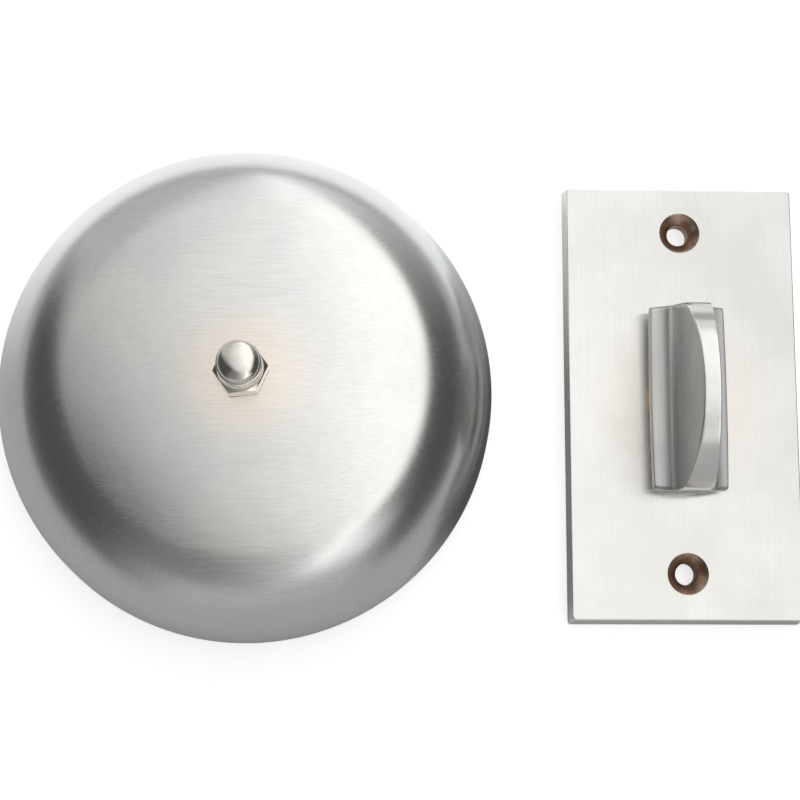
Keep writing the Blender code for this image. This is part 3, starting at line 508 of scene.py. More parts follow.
makeGong(gongShape)
print("gong made")


# Domed nut

nutShape = {"flats": 10.0, "hexHeight": 5.4, "cap": 9.3, "groove": 0.7, "neckStep": 0.35, "wallTop": 11.6,
    "crown": 7.6, "shoulder": 2.0, "turn": 6.0, "seat": 38.8, "bore": 3.1, "boreDepth": 10.8, "edge": 0.15}


def makeNut(shape):
    seat, flats, tall = shape["seat"], shape["flats"] / 2, shape["hexHeight"]
    corner = shape["flats"] / sqrt(3)
    outline = eased(arc(corner, 6), shape["edge"] * 2)
    hexagon = plainMesh(loft([[(x, y, 0) for x, y in outline], [(x, y, tall) for x, y in outline]]),
        finishes["dome_nut"], (bellX, 0, seat), radians(shape["turn"]))
    face = flats - 0.2
    drop = (corner + 1 - face) * tan(radians(30))
    facing = [(0, 0), (face, 0), (corner + 1, drop), (corner + 1, tall - drop), (face, tall), (0, tall)]
    facing = plainMesh(turned(facing, 192), finishes["dome_nut"], (bellX, 0, seat))
    capRadius, neck = shape["cap"] / 2, shape["cap"] / 2 - shape["neckStep"]
    foot, soft, crown = tall + shape["groove"], shape["shoulder"], shape["crown"]
    cap = [(0, tall - 1), (neck, tall - 1), (neck, foot - 0.15)]
    cap += arc(0.15, 4, (neck + 0.15, foot - 0.15), pi, -pi / 2)[1:]
    cap += arc(0.2, 3, (capRadius - 0.2, foot + 0.2), -pi / 2, pi / 2)
    tilt = asin((capRadius - soft) / (crown - soft))
    cap += arc(soft, 20, (capRadius - soft, shape["wallTop"]), 0, pi / 2 - tilt)
    centre = shape["wallTop"] - (crown - soft) * cos(tilt)
    cap += arc(crown, 16, (0, centre), pi / 2 - tilt, tilt)[1:-1] + [(0, centre + crown)]
    cap = plainMesh(turned(cap, 128), finishes["dome_nut"], (bellX, 0, seat))
    bore = [(0, -1), (shape["bore"], -1), (shape["bore"], shape["boreDepth"] - 1), (0, shape["boreDepth"])]
    bore = plainMesh(turned(bore, 64), finishes["dome_nut"], (bellX, 0, seat))
    mesh = shaped(hexagon, [("INTERSECT", facing), ("UNION", cap), ("DIFFERENCE", bore)])
    return keepMesh("domed_nut", mesh, "dome_nut", 28)


makeNut(nutShape)
print("domed nut made")


# Turn plate

plateShape = {"width": 53.6, "height": 101.2, "thickness": 5.5, "sideDraft": 0.3, "endDraft": 0.9,
    "corner": 0.7, "edge": 0.30, "screwSpacing": 80.2, "screwHole": 5.0, "screwHead": 9.4, "bore": 5.5,
    "recess": 9.5, "recessDepth": 3.5, "sinkEase": 0.25, "flatArea": 20.0}


def plateOutline(width, height, corner, z):
    points = []
    for quarter in range(4):
        across = 1 if quarter in (0, 3) else -1
        along = 1 if quarter < 2 else -1
        points += arc(corner, 6, (across * (width / 2 - corner), along * (height / 2 - corner)),
            quarter * pi / 2, pi / 2)
    return [(x, y, z) for x, y in points]


def makePlate(shape):
    width, height, thick, edge = shape["width"], shape["height"], shape["thickness"], shape["edge"]
    sideDraft, endDraft = shape["sideDraft"], shape["endDraft"]
    loops = [plateOutline(width + 2 * sideDraft, height + 2 * endDraft, shape["corner"], 0)]
    for step in range(6):
        lift = step / 5 * pi / 2
        z = thick - edge + edge * sin(lift)
        inset = edge * (1 - cos(lift))
        spread = 2 * ((thick - min(z, thick - edge)) - edge * (1 - cos(lift))) / thick
        loops.append(plateOutline(width + sideDraft * spread - 2 * inset, height
            + endDraft * spread - 2 * inset, shape["corner"], z))
    slab = plainMesh(loft(loops), finishes["turn_plate"], (plateX, 0, 0))
    well = [(0, -1), (shape["recess"], -1), (shape["recess"], shape["recessDepth"]), (shape["bore"],
        shape["recessDepth"]), (shape["bore"], thick + 1), (0, thick + 1)]
    steps = [("DIFFERENCE", plainMesh(turned(well, 96), finishes["turn_plate"], (plateX, 0, 0)))]
    slope, ease = (shape["screwHead"] - shape["screwHole"]) / 2, shape["sinkEase"]
    for side in (1, -1):
        hole, head = shape["screwHole"] / 2, shape["screwHead"] / 2
        sink = [(0, -1), (hole, -1), (hole, thick - slope), (head - ease, thick - ease), (head - ease * 0.3,
            thick - ease * 0.45), (head + ease * 0.5, thick), (head + ease * 0.5, thick + 1), (0, thick + 1)]
        sink = eased(sink, 0.25, 3)
        steps.append(("DIFFERENCE", plainMesh(turned(sink, 96), bareBrass,
            (plateX, side * shape["screwSpacing"] / 2, 0))))
    mesh = shaped(slab, steps)
    plain = len(mesh.materials)
    mesh.materials.append(paintedShadeSide)
    mesh.materials.append(wornEdgeAndHighlight)
    for face in mesh.polygons:
        # Large upright faces take the darker side finish, which is painted shade.
        if abs(face.normal.z) < 0.5 and face.area > shape["flatArea"]:
            face.material_index = plain
        # Sloping bevel faces take the edge finish: a rubbed, smoother edge with a painted highlight in its
        # lighter colour.
        elif face.material_index == 0 and 0.1 < face.normal.z < 0.99:
            face.material_index = plain + 1
    return keepMesh("turn_plate_dressed", mesh, "turn_plate", 30, shape["flatArea"])


makePlate(plateShape)
print("turn plate made")


# Turn

turnShape = {"length": 42.6, "width": 17.0, "edge": 2.6, "bottom": 8.5, "height": 22.0, "endHeight": 7.6,
    "northBulge": 0.5, "southBulge": 1.0, "sideBulge": 0.3, "northDraft": 7.5, "southDraft": 4.0, "ridge": 3.7,
    "lean": 6.0, "foot": 15.0, "hollowGrowth": 2.5, "ease": 0.28, "boss": 7.5, "bossBottom": 6.9, "bore": 4.6,
    "boreTop": 11.9, "sections": 110}


def softCorner(point, arrive, leave, size, steps=4):
    # Points of a small curve that takes the place of a corner.
    start = (point[0] - arrive[0] * size, point[1] - arrive[1] * size)
    end = (point[0] + leave[0] * size, point[1] + leave[1] * size)
    made = []
    for step in range(steps + 1):
        share = step / steps
        made.append(tuple(start[axis] * (1 - share)**2 + point[axis] * 2 * share * (1 - share)
            + end[axis] * share**2 for axis in (0, 1)))
    return made


def turnSection(shape, y):
    # Outline of the turn across its length: up the right side, over the ridge and down the left.
    shelf, half, ease = shape["bottom"] + shape["edge"], shape["length"] / 2, shape["ease"]
    drop, side, ridge = shape["height"] - shape["endHeight"], shape["width"] / 2, shape["ridge"] / 2
    lean, foot = radians(shape["lean"]), radians(shape["foot"])
    archRadius = (half**2 + drop**2) / (2 * drop)
    rise = shape["height"] - archRadius + sqrt(max(archRadius**2 - y * y, 0))
    # The hollow grows steeper from its foot until it runs into the leaning flank.
    steps, run, hollow = 44, [0.0, 0.0], []
    for step in range(steps):
        angle = foot + (pi / 2 - lean - foot) * ((step + 0.5) / steps)**shape["hollowGrowth"]
        run = [run[0] - cos(angle) / steps, run[1] + sin(angle) / steps]
        hollow.append(run)
    reach = ((ridge - side) * cos(lean) + shape["height"] * sin(lean)) / (run[0] * cos(lean)
        + run[1] * sin(lean))
    wide = side + shape["sideBulge"] * max(0.0, 1 - (y / half)**2)
    crest = (ridge + (shape["height"] - rise) * tan(lean), shelf + rise)
    points = softCorner((wide, shape["bottom"]), (1, 0), (0, 1), ease)
    points += softCorner((wide, shelf - (wide - side) * tan(foot)), (0, 1), (-cos(foot), sin(foot)), ease)
    points += [(side + x * reach, shelf + z * reach) for x, z in hollow[3:]]
    low, high = points[-1], (crest[0] + ease * sin(lean), crest[1] - ease * cos(lean))
    for step in range(1, 12):
        points.append((low[0] + (high[0] - low[0]) * step / 12, low[1] + (high[1] - low[1]) * step / 12))
    points += softCorner(crest, (-sin(lean), cos(lean)), (-1, 0), ease)
    flat = points[-1][0]
    points += [(flat * (1 - step / 4), crest[1]) for step in range(1, 4)]
    return points + [(0, crest[1])] + [(-x, z) for x, z in reversed(points)]


def makeTurn(shape):
    half, ease, count = shape["length"] / 2, shape["ease"], 200
    reachY = half + max(shape["northBulge"], shape["southBulge"])
    table = [turnSection(shape, min(half, reachY * step / count)) for step in range(count + 1)]
    size = len(table[0])
    drafts = tan(radians(shape["southDraft"])), tan(radians(shape["northDraft"]))
    turnIn = [(ease * (1 - sin(step * pi / 8)), ease * (1 - cos(step * pi / 8))) for step in range(4, -1, -1)]
    inside = [(half - ease) * (2 * step / shape["sections"] - 1) for step in range(1, shape["sections"])]
    stations = [(-half + back, shrink) for back, shrink in reversed(turnIn)]
    stations += [(y, 0.0) for y in inside] + [(half - back, shrink) for back, shrink in turnIn]
    loops = []
    for station, shrink in stations:
        loop = []
        for index in range(size):
            y = station
            for _ in range(4):
                place = min(abs(y) / reachY * count, count - 0.001)
                lower, part = int(place), place - int(place)
                (x1, z1), (x2, z2) = table[lower][index], table[lower + 1][index]
                x, z = x1 + (x2 - x1) * part, z1 + (z2 - z1) * part
                bulge, draft = (shape["northBulge"], drafts[1]) if station > 0 else (shape["southBulge"],
                    drafts[0])
                bow = bulge * max(0.0, 1 - (2 * x / shape["width"])**2)
                y = station / half * (half - (z - shape["bottom"]) * draft + bow)
            loop.append((x, y, z))
        if shrink:
            moved = []
            for index, (x, y, z) in enumerate(loop):
                before, after = loop[index - 1], loop[(index + 1) % size]
                run = Vector((after[0] - before[0], after[2] - before[2])).normalized()
                moved.append((x - run.y * shrink, y, z + run.x * shrink))
            loop = moved
        loops.append(loop)
    body = plainMesh(loft(loops), finishes["turn"], (plateX, 0, 0))
    boss = eased([(0, shape["bossBottom"]), (shape["boss"], shape["bossBottom"]), (shape["boss"],
        shape["bottom"] + 1.2), (0, shape["bottom"] + 1.2)], 0.2)
    boss = plainMesh(turned(boss, 96), finishes["turn"], (plateX, 0, 0))
    bore = [(0, shape["bossBottom"] - 1), (shape["bore"], shape["bossBottom"] - 1), (shape["bore"],
        shape["boreTop"]), (0, shape["boreTop"])]
    bore = plainMesh(turned(bore, 64), finishes["turn"], (plateX, 0, 0))
    mesh = shaped(body, [("UNION", boss), ("DIFFERENCE", bore)])
    mesh.materials.append(polishedRidge)
    foot = shape["bottom"] + shape["edge"] + shape["endHeight"] - 1.5
    for face in mesh.polygons:
        if face.center.z > foot and abs(face.normal.x) < 0.5 and face.normal.z > 0.3:
            face.material_index = len(mesh.materials) - 1
    return keepMesh("turn_handle", mesh, "turn_knob", 40)


makeTurn(turnShape)
print("turn made")


# Toothed wheels by Geometry Nodes: one involute rule gives every tooth, then holes and thickness

def makeWheelTree():
    tree = bpy.data.node_groups.new("toothedWheel", "GeometryNodeTree")
    face = tree.interface
    face.new_socket("Start", in_out="INPUT", socket_type="NodeSocketGeometry")
    for label, kind in (("Teeth", "Int"), ("Module", "Float"), ("Flank Angle", "Float"), ("Backlash", "Float"),
            ("Phase", "Float"), ("Bore", "Float"), ("Windows", "Int"), ("Window", "Float"), ("Window Reach",
            "Float"), ("Thickness", "Float"), ("Place", "Vector"), ("Finish", "Material")):
        face.new_socket(label, in_out="INPUT", socket_type="NodeSocket" + kind)
    face.new_socket("Wheel", in_out="OUTPUT", socket_type="NodeSocketGeometry")
    given = addNode(tree, "NodeGroupInput").outputs
    perFlank = 9
    pitch = times(tree, times(tree, given["Teeth"], given["Module"]), 0.5)
    base = times(tree, pitch, calc(tree, "COSINE", given["Flank Angle"]))
    root = minus(tree, pitch, times(tree, given["Module"], 1.25))
    tip = plus(tree, pitch, given["Module"])
    rim = addNode(tree, "GeometryNodeCurvePrimitiveCircle", {"Resolution": times(tree, given["Teeth"],
        2.0 * perFlank), "Radius": 1.0})
    index = addNode(tree, "GeometryNodeInputIndex").outputs[0]
    tooth = calc(tree, "FLOOR", over(tree, index, 2.0 * perFlank))
    inTooth = minus(tree, index, times(tree, tooth, 2.0 * perFlank))
    leaving = calc(tree, "GREATER_THAN", inTooth, perFlank - 0.5)
    down = minus(tree, 2.0 * perFlank - 1.0, inTooth)
    step = plus(tree, times(tree, leaving, minus(tree, down, inTooth)), inTooth)
    share = over(tree, step, perFlank - 1.0)
    radius = plus(tree, root, times(tree, share, minus(tree, tip, root)))
    ratio = over(tree, radius, base)
    slope = calc(tree, "SQRT", calc(tree, "MAXIMUM", minus(tree, times(tree, ratio, ratio), 1.0), 0.0))
    rolled = minus(tree, slope, calc(tree, "ARCTANGENT", slope))
    tangent = calc(tree, "TANGENT", given["Flank Angle"])
    width = minus(tree, times(tree, given["Module"], pi / 2), times(tree, given["Backlash"], 0.5))
    halfTooth = over(tree, width, times(tree, pitch, 2.0))
    angle = minus(tree, plus(tree, halfTooth, minus(tree, tangent, given["Flank Angle"])), rolled)
    side = minus(tree, times(tree, leaving, 2.0), 1.0)
    middle = plus(tree, given["Phase"], over(tree, times(tree, tooth, 2 * pi), given["Teeth"]))
    around = plus(tree, middle, times(tree, side, angle))
    spot = joinPoint(tree, times(tree, radius, calc(tree, "COSINE", around)), times(tree, radius, calc(tree,
        "SINE", around)), 0.0)
    rim = addNode(tree, "GeometryNodeSetPosition", {0: rim.outputs[0], "Position": spot})
    bore = addNode(tree, "GeometryNodeCurvePrimitiveCircle", {"Resolution": 72, "Radius": given["Bore"]})
    window = addNode(tree, "GeometryNodeCurvePrimitiveCircle", {"Resolution": 48, "Radius": given["Window"]})
    ringOf = addNode(tree, "GeometryNodeCurvePrimitiveCircle", {"Resolution": calc(tree, "MAXIMUM",
        given["Windows"], 3.0), "Radius": given["Window Reach"]})
    spots = addNode(tree, "GeometryNodeCurveToPoints", {0: ringOf.outputs[0]}, mode="EVALUATED")
    windows = addNode(tree, "GeometryNodeInstanceOnPoints", {0: spots.outputs[0], 2: window.outputs[0]})
    some = addNode(tree, "FunctionNodeCompare", data_type="INT", operation="GREATER_THAN")
    tree.links.new(given["Windows"], some.inputs[2])
    chosen = addNode(tree, "GeometryNodeSwitch", input_type="GEOMETRY")
    tree.links.new(some.outputs[0], chosen.inputs[0])
    tree.links.new(windows.outputs[0], chosen.inputs[2])
    joined = addNode(tree, "GeometryNodeJoinGeometry")
    for source in (rim, bore, chosen):
        tree.links.new(source.outputs[0], joined.inputs[0])
    real = addNode(tree, "GeometryNodeRealizeInstances", {0: joined.outputs[0]})
    filled = addNode(tree, "GeometryNodeFillCurve", {0: real.outputs[0]})
    thick = addNode(tree, "GeometryNodeExtrudeMesh", {0: filled.outputs[0], "Offset Scale": given["Thickness"]})
    thick.inputs["Individual"].default_value = False
    underside = addNode(tree, "GeometryNodeFlipFaces", {0: filled.outputs[0]})
    whole = addNode(tree, "GeometryNodeJoinGeometry")
    tree.links.new(thick.outputs[0], whole.inputs[0])
    tree.links.new(underside.outputs[0], whole.inputs[0])
    placed = addNode(tree, "GeometryNodeSetPosition", {0: whole.outputs[0], "Offset": given["Place"]})
    welded = addNode(tree, "GeometryNodeMergeByDistance", {0: placed.outputs[0], "Distance": weldGap})
    last = addNode(tree, "GeometryNodeRealizeInstances", {0: welded.outputs[0]})
    coated = addNode(tree, "GeometryNodeSetMaterial", {0: last.outputs[0], "Material": given["Finish"]})
    out = addNode(tree, "NodeGroupOutput")
    tree.links.new(coated.outputs[0], out.inputs[0])
    return tree


wheelTree = makeWheelTree()

trainShape = {"module": 0.8, "flank": 25.0, "backlash": 0.16, "driveTeeth": 48, "pinionTeeth": 12,
    "wheelTeeth": 42, "rotorTeeth": 14, "driveOffset": 25.0, "windows": 5, "window": 3.5, "drive": (5.1, 3.8,
    6.2, 5.0), "pinion": (2.3, 3.65, 6.5), "wheel": (2.3, 7.9, 9.9, 3.4), "rotor": (3.7, 7.6, 10.2),
    "hub": [(3.7, 10.1), (6.0, 10.1), (6.0, 15.0), (5.2, 15.0), (5.2, 17.1), (3.7, 17.1)]}
driveReach = trainShape["module"] * (trainShape["driveTeeth"] + trainShape["pinionTeeth"]) / 2
rotorReach = trainShape["module"] * (trainShape["wheelTeeth"] + trainShape["rotorTeeth"]) / 2
driveAlong = (trainShape["driveOffset"]**2 - rotorReach**2 + driveReach**2) / (2 * driveReach)
setBack = sqrt(trainShape["driveOffset"]**2 - driveAlong**2)
driveSpot = (bellX - driveAlong, -setBack)
laySpot = (bellX + driveReach - driveAlong, -setBack)
bell = (bellX, 0.0)
turnAxis = (plateX, 0.0)


def heading(start, end):
    return atan2(end[1] - start[1], end[0] - start[0])


def wheelMesh(shape, teeth, phase, axis, finish, bore, bottom, top, hub=0.0):
    # The last four are the radius of the bore, both heights and, with windows, the radius of the hub.
    rim = shape["module"] * (teeth / 2 - 1.25)
    line = bpy.data.meshes.new("start")
    values = {"Teeth": teeth, "Module": shape["module"], "Flank Angle": radians(shape["flank"]),
        "Backlash": shape["backlash"], "Phase": phase, "Bore": bore, "Windows": shape["windows"] if hub else 0,
        "Window": shape["window"], "Window Reach": (rim + hub) / 2, "Thickness": top - bottom,
        "Place": (axis[0], axis[1], bottom), "Finish": finish}
    return cleaned(runTree(wheelTree, line, values))


def makeTrain(shape):
    steel, brass = finishes["bright_steel"], finishes["brass"]
    drive = wheelMesh(shape, shape["driveTeeth"], heading(driveSpot, laySpot), driveSpot, brass,
        *shape["drive"])
    keepMesh("drive_wheel_toothed", drive, "drive_wheel", 30)
    pinion = wheelMesh(shape, shape["pinionTeeth"], heading(laySpot, driveSpot) + pi / shape["pinionTeeth"],
        laySpot, steel, *shape["pinion"])
    keepMesh("layshaft_pinion_toothed", pinion, "layshaft_pinion", 30)
    wheel = wheelMesh(shape, shape["wheelTeeth"], heading(laySpot, bell), laySpot, brass, *shape["wheel"])
    keepMesh("layshaft_wheel_toothed", wheel, "layshaft_wheel", 30)
    rotor = wheelMesh(shape, shape["rotorTeeth"], heading(bell, laySpot) + pi / shape["rotorTeeth"], bell,
        steel, *shape["rotor"])
    hub = plainMesh(turned(eased(shape["hub"], 0.15, 3), 96, bell), steel)
    keepMesh("rotor_pinion_toothed", shaped(rotor, [("UNION", hub)]), "rotor_pinion", 30)


makeTrain(trainShape)
print("gear train made")


# Shafts, washers and screws: each is a profile of radius and height about its axis

roundShape = {"ease": 0.18, "sides": 96, "slotWidth": 0.8, "slotDepth": 0.8, "square": 5.2}
armReach = 37.5  # bell axis to a striker's pin
screwTop = 14.6
pillarSpots = ((driveSpot[0] - 23.6, -setBack), (laySpot[0] + 21.2, -setBack))
postProfile = [(0, 0.3), (4.0, 0.3), (4.0, 2.3), (8.0, 2.3), (8.0, 3.3), (4.6, 3.3), (4.6, 7.3), (3.6, 7.3),
    (3.6, 17.1), (3.0, 17.1), (3.0, 47.2), (2.4, 47.8), (0, 47.8)]
pillarProfile = [(0, 0.3), (1.8, 0.3), (1.8, 2.3), (3.0, 2.3), (3.0, 10.9), (1.6, 10.9), (1.6, 6.7), (0, 6.7)]
screwProfile = [(0, 7.0), (1.5, 7.0), (1.5, 13.0), (2.75, 13.0), (2.75, 14.3), (2.3, screwTop), (0, screwTop)]
pinProfile = [(0, 15.3), (2.0, 15.3), (2.0, 19.9), (4.8, 19.9), (4.8, 20.4), (4.3, 20.9), (0, 20.9)]
strikerProfile = [(3.5, 17.1), (8.0, 17.1), (8.5, 17.6), (8.5, 19.1), (8.0, 19.6), (3.5, 19.6)]
layProfile = [(0, 0.3), (1.5, 0.3), (1.5, 2.3), (2.2, 2.3), (2.2, 6.8), (3.4, 6.8), (3.4, 7.6), (2.2, 7.6),
    (2.2, 10.9), (1.5, 10.9), (1.5, 12.7), (0, 12.7)]
driveProfile = [(0, 0.3), (5.0, 0.3), (5.0, 6.5), (6.6, 6.5), (6.6, 7.6), (3.2, 7.6), (3.2, 10.9), (2.0, 10.9),
    (2.0, 12.7), (0, 12.7)]
bushProfile = [(5.1, 0.3), (6.5, 0.3), (6.5, 2.3), (8.5, 2.3), (8.5, 3.3), (5.1, 3.3)]
shankProfile = [(0, 0.2), (5.4, 0.2), (5.4, 1.0), (4.6, 1.0), (4.6, 2.0), (5.4, 2.0), (5.4, 6.6), (4.5, 6.6),
    (4.5, 11.6), (0, 11.6)]
thrustProfile = [(5.5, 5.8), (8.5, 5.8), (8.5, 6.6), (5.5, 6.6)]


def nodeSpan(node):
    low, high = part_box(node)
    return low.z / mm, high.z / mm


def ringProfile(node, bore, outer):
    low, high = nodeSpan(node)
    return [(bore, low), (outer, low), (outer, high), (bore, high)]


roundPieces = [
    ("post_turned", "gong_post", bell, postProfile),
    ("drive_bush_turned", "drive_bush", driveSpot, bushProfile),
    ("spacer_turned", "post_spacer", bell, ringProfile("post_spacer", 3.1, 4.8)),
    ("seat_washer_cut", "gong_seat_washer", bell, ringProfile("gong_seat_washer", 3.1, 6.0)),
    ("pillar_a_turned", "bridge_pillar_a", pillarSpots[0], pillarProfile),
    ("pillar_b_turned", "bridge_pillar_b", pillarSpots[1], pillarProfile),
    ("layshaft_turned", "layshaft_arbor", laySpot, layProfile),
    ("pin_a_turned", "striker_pin_a", (bellX + armReach, 0), pinProfile),
    ("pin_b_turned", "striker_pin_b", (bellX - armReach, 0), pinProfile),
    ("striker_a_turned", "striker_a", (bellX + armReach, 0), strikerProfile),
    ("striker_b_turned", "striker_b", (bellX - armReach, 0), strikerProfile),
    ("thrust_washer_cut", "thrust_washer", turnAxis, thrustProfile),
]


def roundMesh(profile, axis, finish, shape=roundShape):
    return latheMesh(eased(profile, shape["ease"], 3), shape["sides"], axis, finish)


def boxMesh(centre, size, low, high, finish):
    x, y = size[0] / 2, size[1] / 2
    corners = [(x, y), (-x, y), (-x, -y), (x, -y)]
    return plainMesh(loft([[(px, py, z) for px, py in corners] for z in (low, high)]), finish, (centre[0],
        centre[1], 0))


for label, node, axis, profile in roundPieces:
    keepMesh(label, roundMesh(profile, axis, finishes[slotOf[node]]), node, 30)
for letter, spot in zip("ab", pillarSpots):
    steel = finishes["bright_steel"]
    cut = boxMesh(spot, (9, roundShape["slotWidth"]), screwTop - roundShape["slotDepth"], screwTop + 1, steel)
    screw = shaped(roundMesh(screwProfile, spot, steel), [("DIFFERENCE", cut)])
    keepMesh(f"screw_{letter}_turned", screw, f"bridge_screw_{letter}", 30)
for label, node, axis, profile, depth in (("drive_arbor_turned", "drive_arbor", driveSpot, driveProfile, 6.7),
        ("shank_turned", "turn_shank", turnAxis, shankProfile, 10.0)):
    steel = finishes["bright_steel"]
    socket = boxMesh(axis, (roundShape["square"],) * 2, -1, depth, steel)
    keepMesh(label, shaped(roundMesh(profile, axis, steel), [("DIFFERENCE", socket)]), node, 30)
print("round pieces made:", len(roundPieces) + 4)


# Flat pieces cut from sheet, with lightly broken edges

sheetShape = {"edge": 0.12, "baseRadius": 47.04, "screwReach": 40.04, "screwAngles": (90, -10, 190),
    "screwHole": 4.4, "screwHead": 8.0, "bridgeWidth": 10.0, "armMiddle": 18.0, "armEnd": 10.0,
    "clipOuter": 7.3, "clipInner": 4.7, "clipOpening": 50, "baseTop": 2.0, "bridgeSpan": (11.2, 12.7),
    "armSpan": (15.3, 16.8), "clipSpan": (1.1, 1.9), "postHole": 4.1, "bushHole": 6.6, "pivotHole": 1.6,
    "pillarHole": 1.9, "driveHole": 2.1, "pinHole": 2.1, "hubHole": 5.3}


def liesFlat(face):
    return abs(face.normal.z) > 0.9


def sheetMesh(outline, holes, bottom, top, finish, edge):
    builder = bmesh.new()
    edges = []
    for loop in [outline, *holes]:
        corners = [builder.verts.new((x, y, bottom)) for x, y in loop]
        edges += [builder.edges.new(pair) for pair in zip(corners, corners[1:] + corners[:1])]
    bmesh.ops.triangle_fill(builder, edges=edges, use_beauty=True, normal=(0, 0, 1))
    raised = bmesh.ops.extrude_face_region(builder, geom=builder.faces[:])["geom"]
    bmesh.ops.translate(builder, verts=[item for item in raised if isinstance(item, bmesh.types.BMVert)],
        vec=(0, 0, top - bottom))
    bmesh.ops.recalc_face_normals(builder, faces=builder.faces)
    rims = [item for item in builder.edges if len(item.link_faces) == 2
        and liesFlat(item.link_faces[0]) != liesFlat(item.link_faces[1])]
    bmesh.ops.bevel(builder, geom=rims, offset=edge, segments=2, profile=0.5, affect="EDGES",
        clamp_overlap=True)
    return plainMesh(builder, finish)


def makeFlats(shape):
    zinc, top = finishes["zinc_plate"], shape["baseTop"]
    holes = [arc(shape["postHole"], 64, bell), arc(shape["bushHole"], 72, driveSpot), arc(shape["pivotHole"],
        40, laySpot)]
    holes += [arc(shape["pillarHole"], 40, spot) for spot in pillarSpots]
    base = sheetMesh(arc(shape["baseRadius"], 240, bell), holes, 0, top, zinc, shape["edge"])
    slope, steps = (shape["screwHead"] - shape["screwHole"]) / 2, []
    for angle in shape["screwAngles"]:
        hole, head = shape["screwHole"] / 2, shape["screwHead"] / 2
        sink = turned([(0, -1), (hole, -1), (hole, top - slope), (head + 1, top + 1), (0, top + 1)], 64)
        spot = (bellX + shape["screwReach"] * cos(radians(angle)), shape["screwReach"] * sin(radians(angle)), 0)
        steps.append(("DIFFERENCE", plainMesh(sink, zinc, spot)))
    keepMesh("base_plate_pressed", shaped(base, steps), "base_plate", 30)
    half = shape["bridgeWidth"] / 2
    outline = arc(half, 32, pillarSpots[1], -pi / 2, pi) + arc(half, 32, pillarSpots[0], pi / 2, pi)
    pivot = shape["pivotHole"]
    holes = [arc(pivot, 40, spot) for spot in (*pillarSpots, laySpot)]
    holes.insert(2, arc(shape["driveHole"], 40, driveSpot))
    keepMesh("bridge_pressed", sheetMesh(outline, holes, *shape["bridgeSpan"], zinc, shape["edge"]), "bridge",
        30)
    middle, end, reach = shape["armMiddle"] / 2, shape["armEnd"] / 2, armReach
    lean = asin((middle - end) / reach)
    side = pi / 2 - lean
    outline = arc(end, 32, (bellX + reach, 0), -side, 2 * side) + arc(middle, 8, bell, side, 2 * lean)
    outline += arc(end, 32, (bellX - reach, 0), pi - side, 2 * side) + arc(middle, 8, bell, pi + side, 2 * lean)
    holes = [arc(shape["hubHole"], 64, bell)]
    holes += [arc(shape["pinHole"], 40, (bellX + side * reach, 0)) for side in (1, -1)]
    keepMesh("arm_pressed", sheetMesh(outline, holes, *shape["armSpan"], zinc, shape["edge"]), "rotor_arm", 30)
    start = radians(shape["clipOpening"] / 2 - 90)
    sweep = 2 * pi - radians(shape["clipOpening"])
    outline = arc(shape["clipOuter"], 80, turnAxis, start, sweep)
    outline += arc(shape["clipInner"], 80, turnAxis, start, sweep)[::-1]
    clip = sheetMesh(outline, [], *shape["clipSpan"], finishes["spring_steel"], shape["edge"])
    keepMesh("clip_pressed", clip, "retaining_clip", 30)


makeFlats(sheetShape)
print("flat pieces made")


# Wave washer

waveShape = {"inner": 5.6, "outer": 8.8, "thickness": 0.4, "waves": 3, "steps": 180, "edge": 0.05}


def makeWaveWasher(shape):
    low, high = nodeSpan("wave_washer")
    middle, swing = (low + high) / 2, (high - low - shape["thickness"]) / 2
    half, edge = shape["thickness"] / 2, shape["edge"]
    profile = [(shape["inner"], -half), (shape["outer"], -half), (shape["outer"], half), (shape["inner"], half)]
    profile = eased(profile, edge, 2)
    builder = bmesh.new()
    rings = []
    for radius, rise in profile:
        ring = []
        for x, y in arc(radius, shape["steps"]):
            wave = swing * cos(shape["waves"] * atan2(y, x))
            ring.append(builder.verts.new((x, y, middle + wave + rise)))
        rings.append(ring)
    for lower, upper in zip(rings, rings[1:] + rings[:1]):
        for step in range(shape["steps"]):
            after = (step + 1) % shape["steps"]
            builder.faces.new((lower[step], lower[after], upper[after], upper[step]))
    mesh = plainMesh(builder, finishes["spring_steel"], (plateX, 0, 0))
    keepMesh("wave_washer_formed", mesh, "wave_washer", 30)


makeWaveWasher(waveShape)
print("wave washer made")


# Studio: pale floor, broad overhead light and the view from above

studio = {"floorSize": 6.0, "floorLevel": -0.0005, "northLift": 0.35, "floorColour": 0.60, "floorGlow": 0.68,
    "worldLevel": 1.0, "flagNear": 0.20, "glossGlow": 0.06, "glossNorth": 0.50, "cameraPlace": (-19.1, -54.5,
    357.6), "cameraTurn": (0.152, -0.051, 0.002), "lens": 69.6}


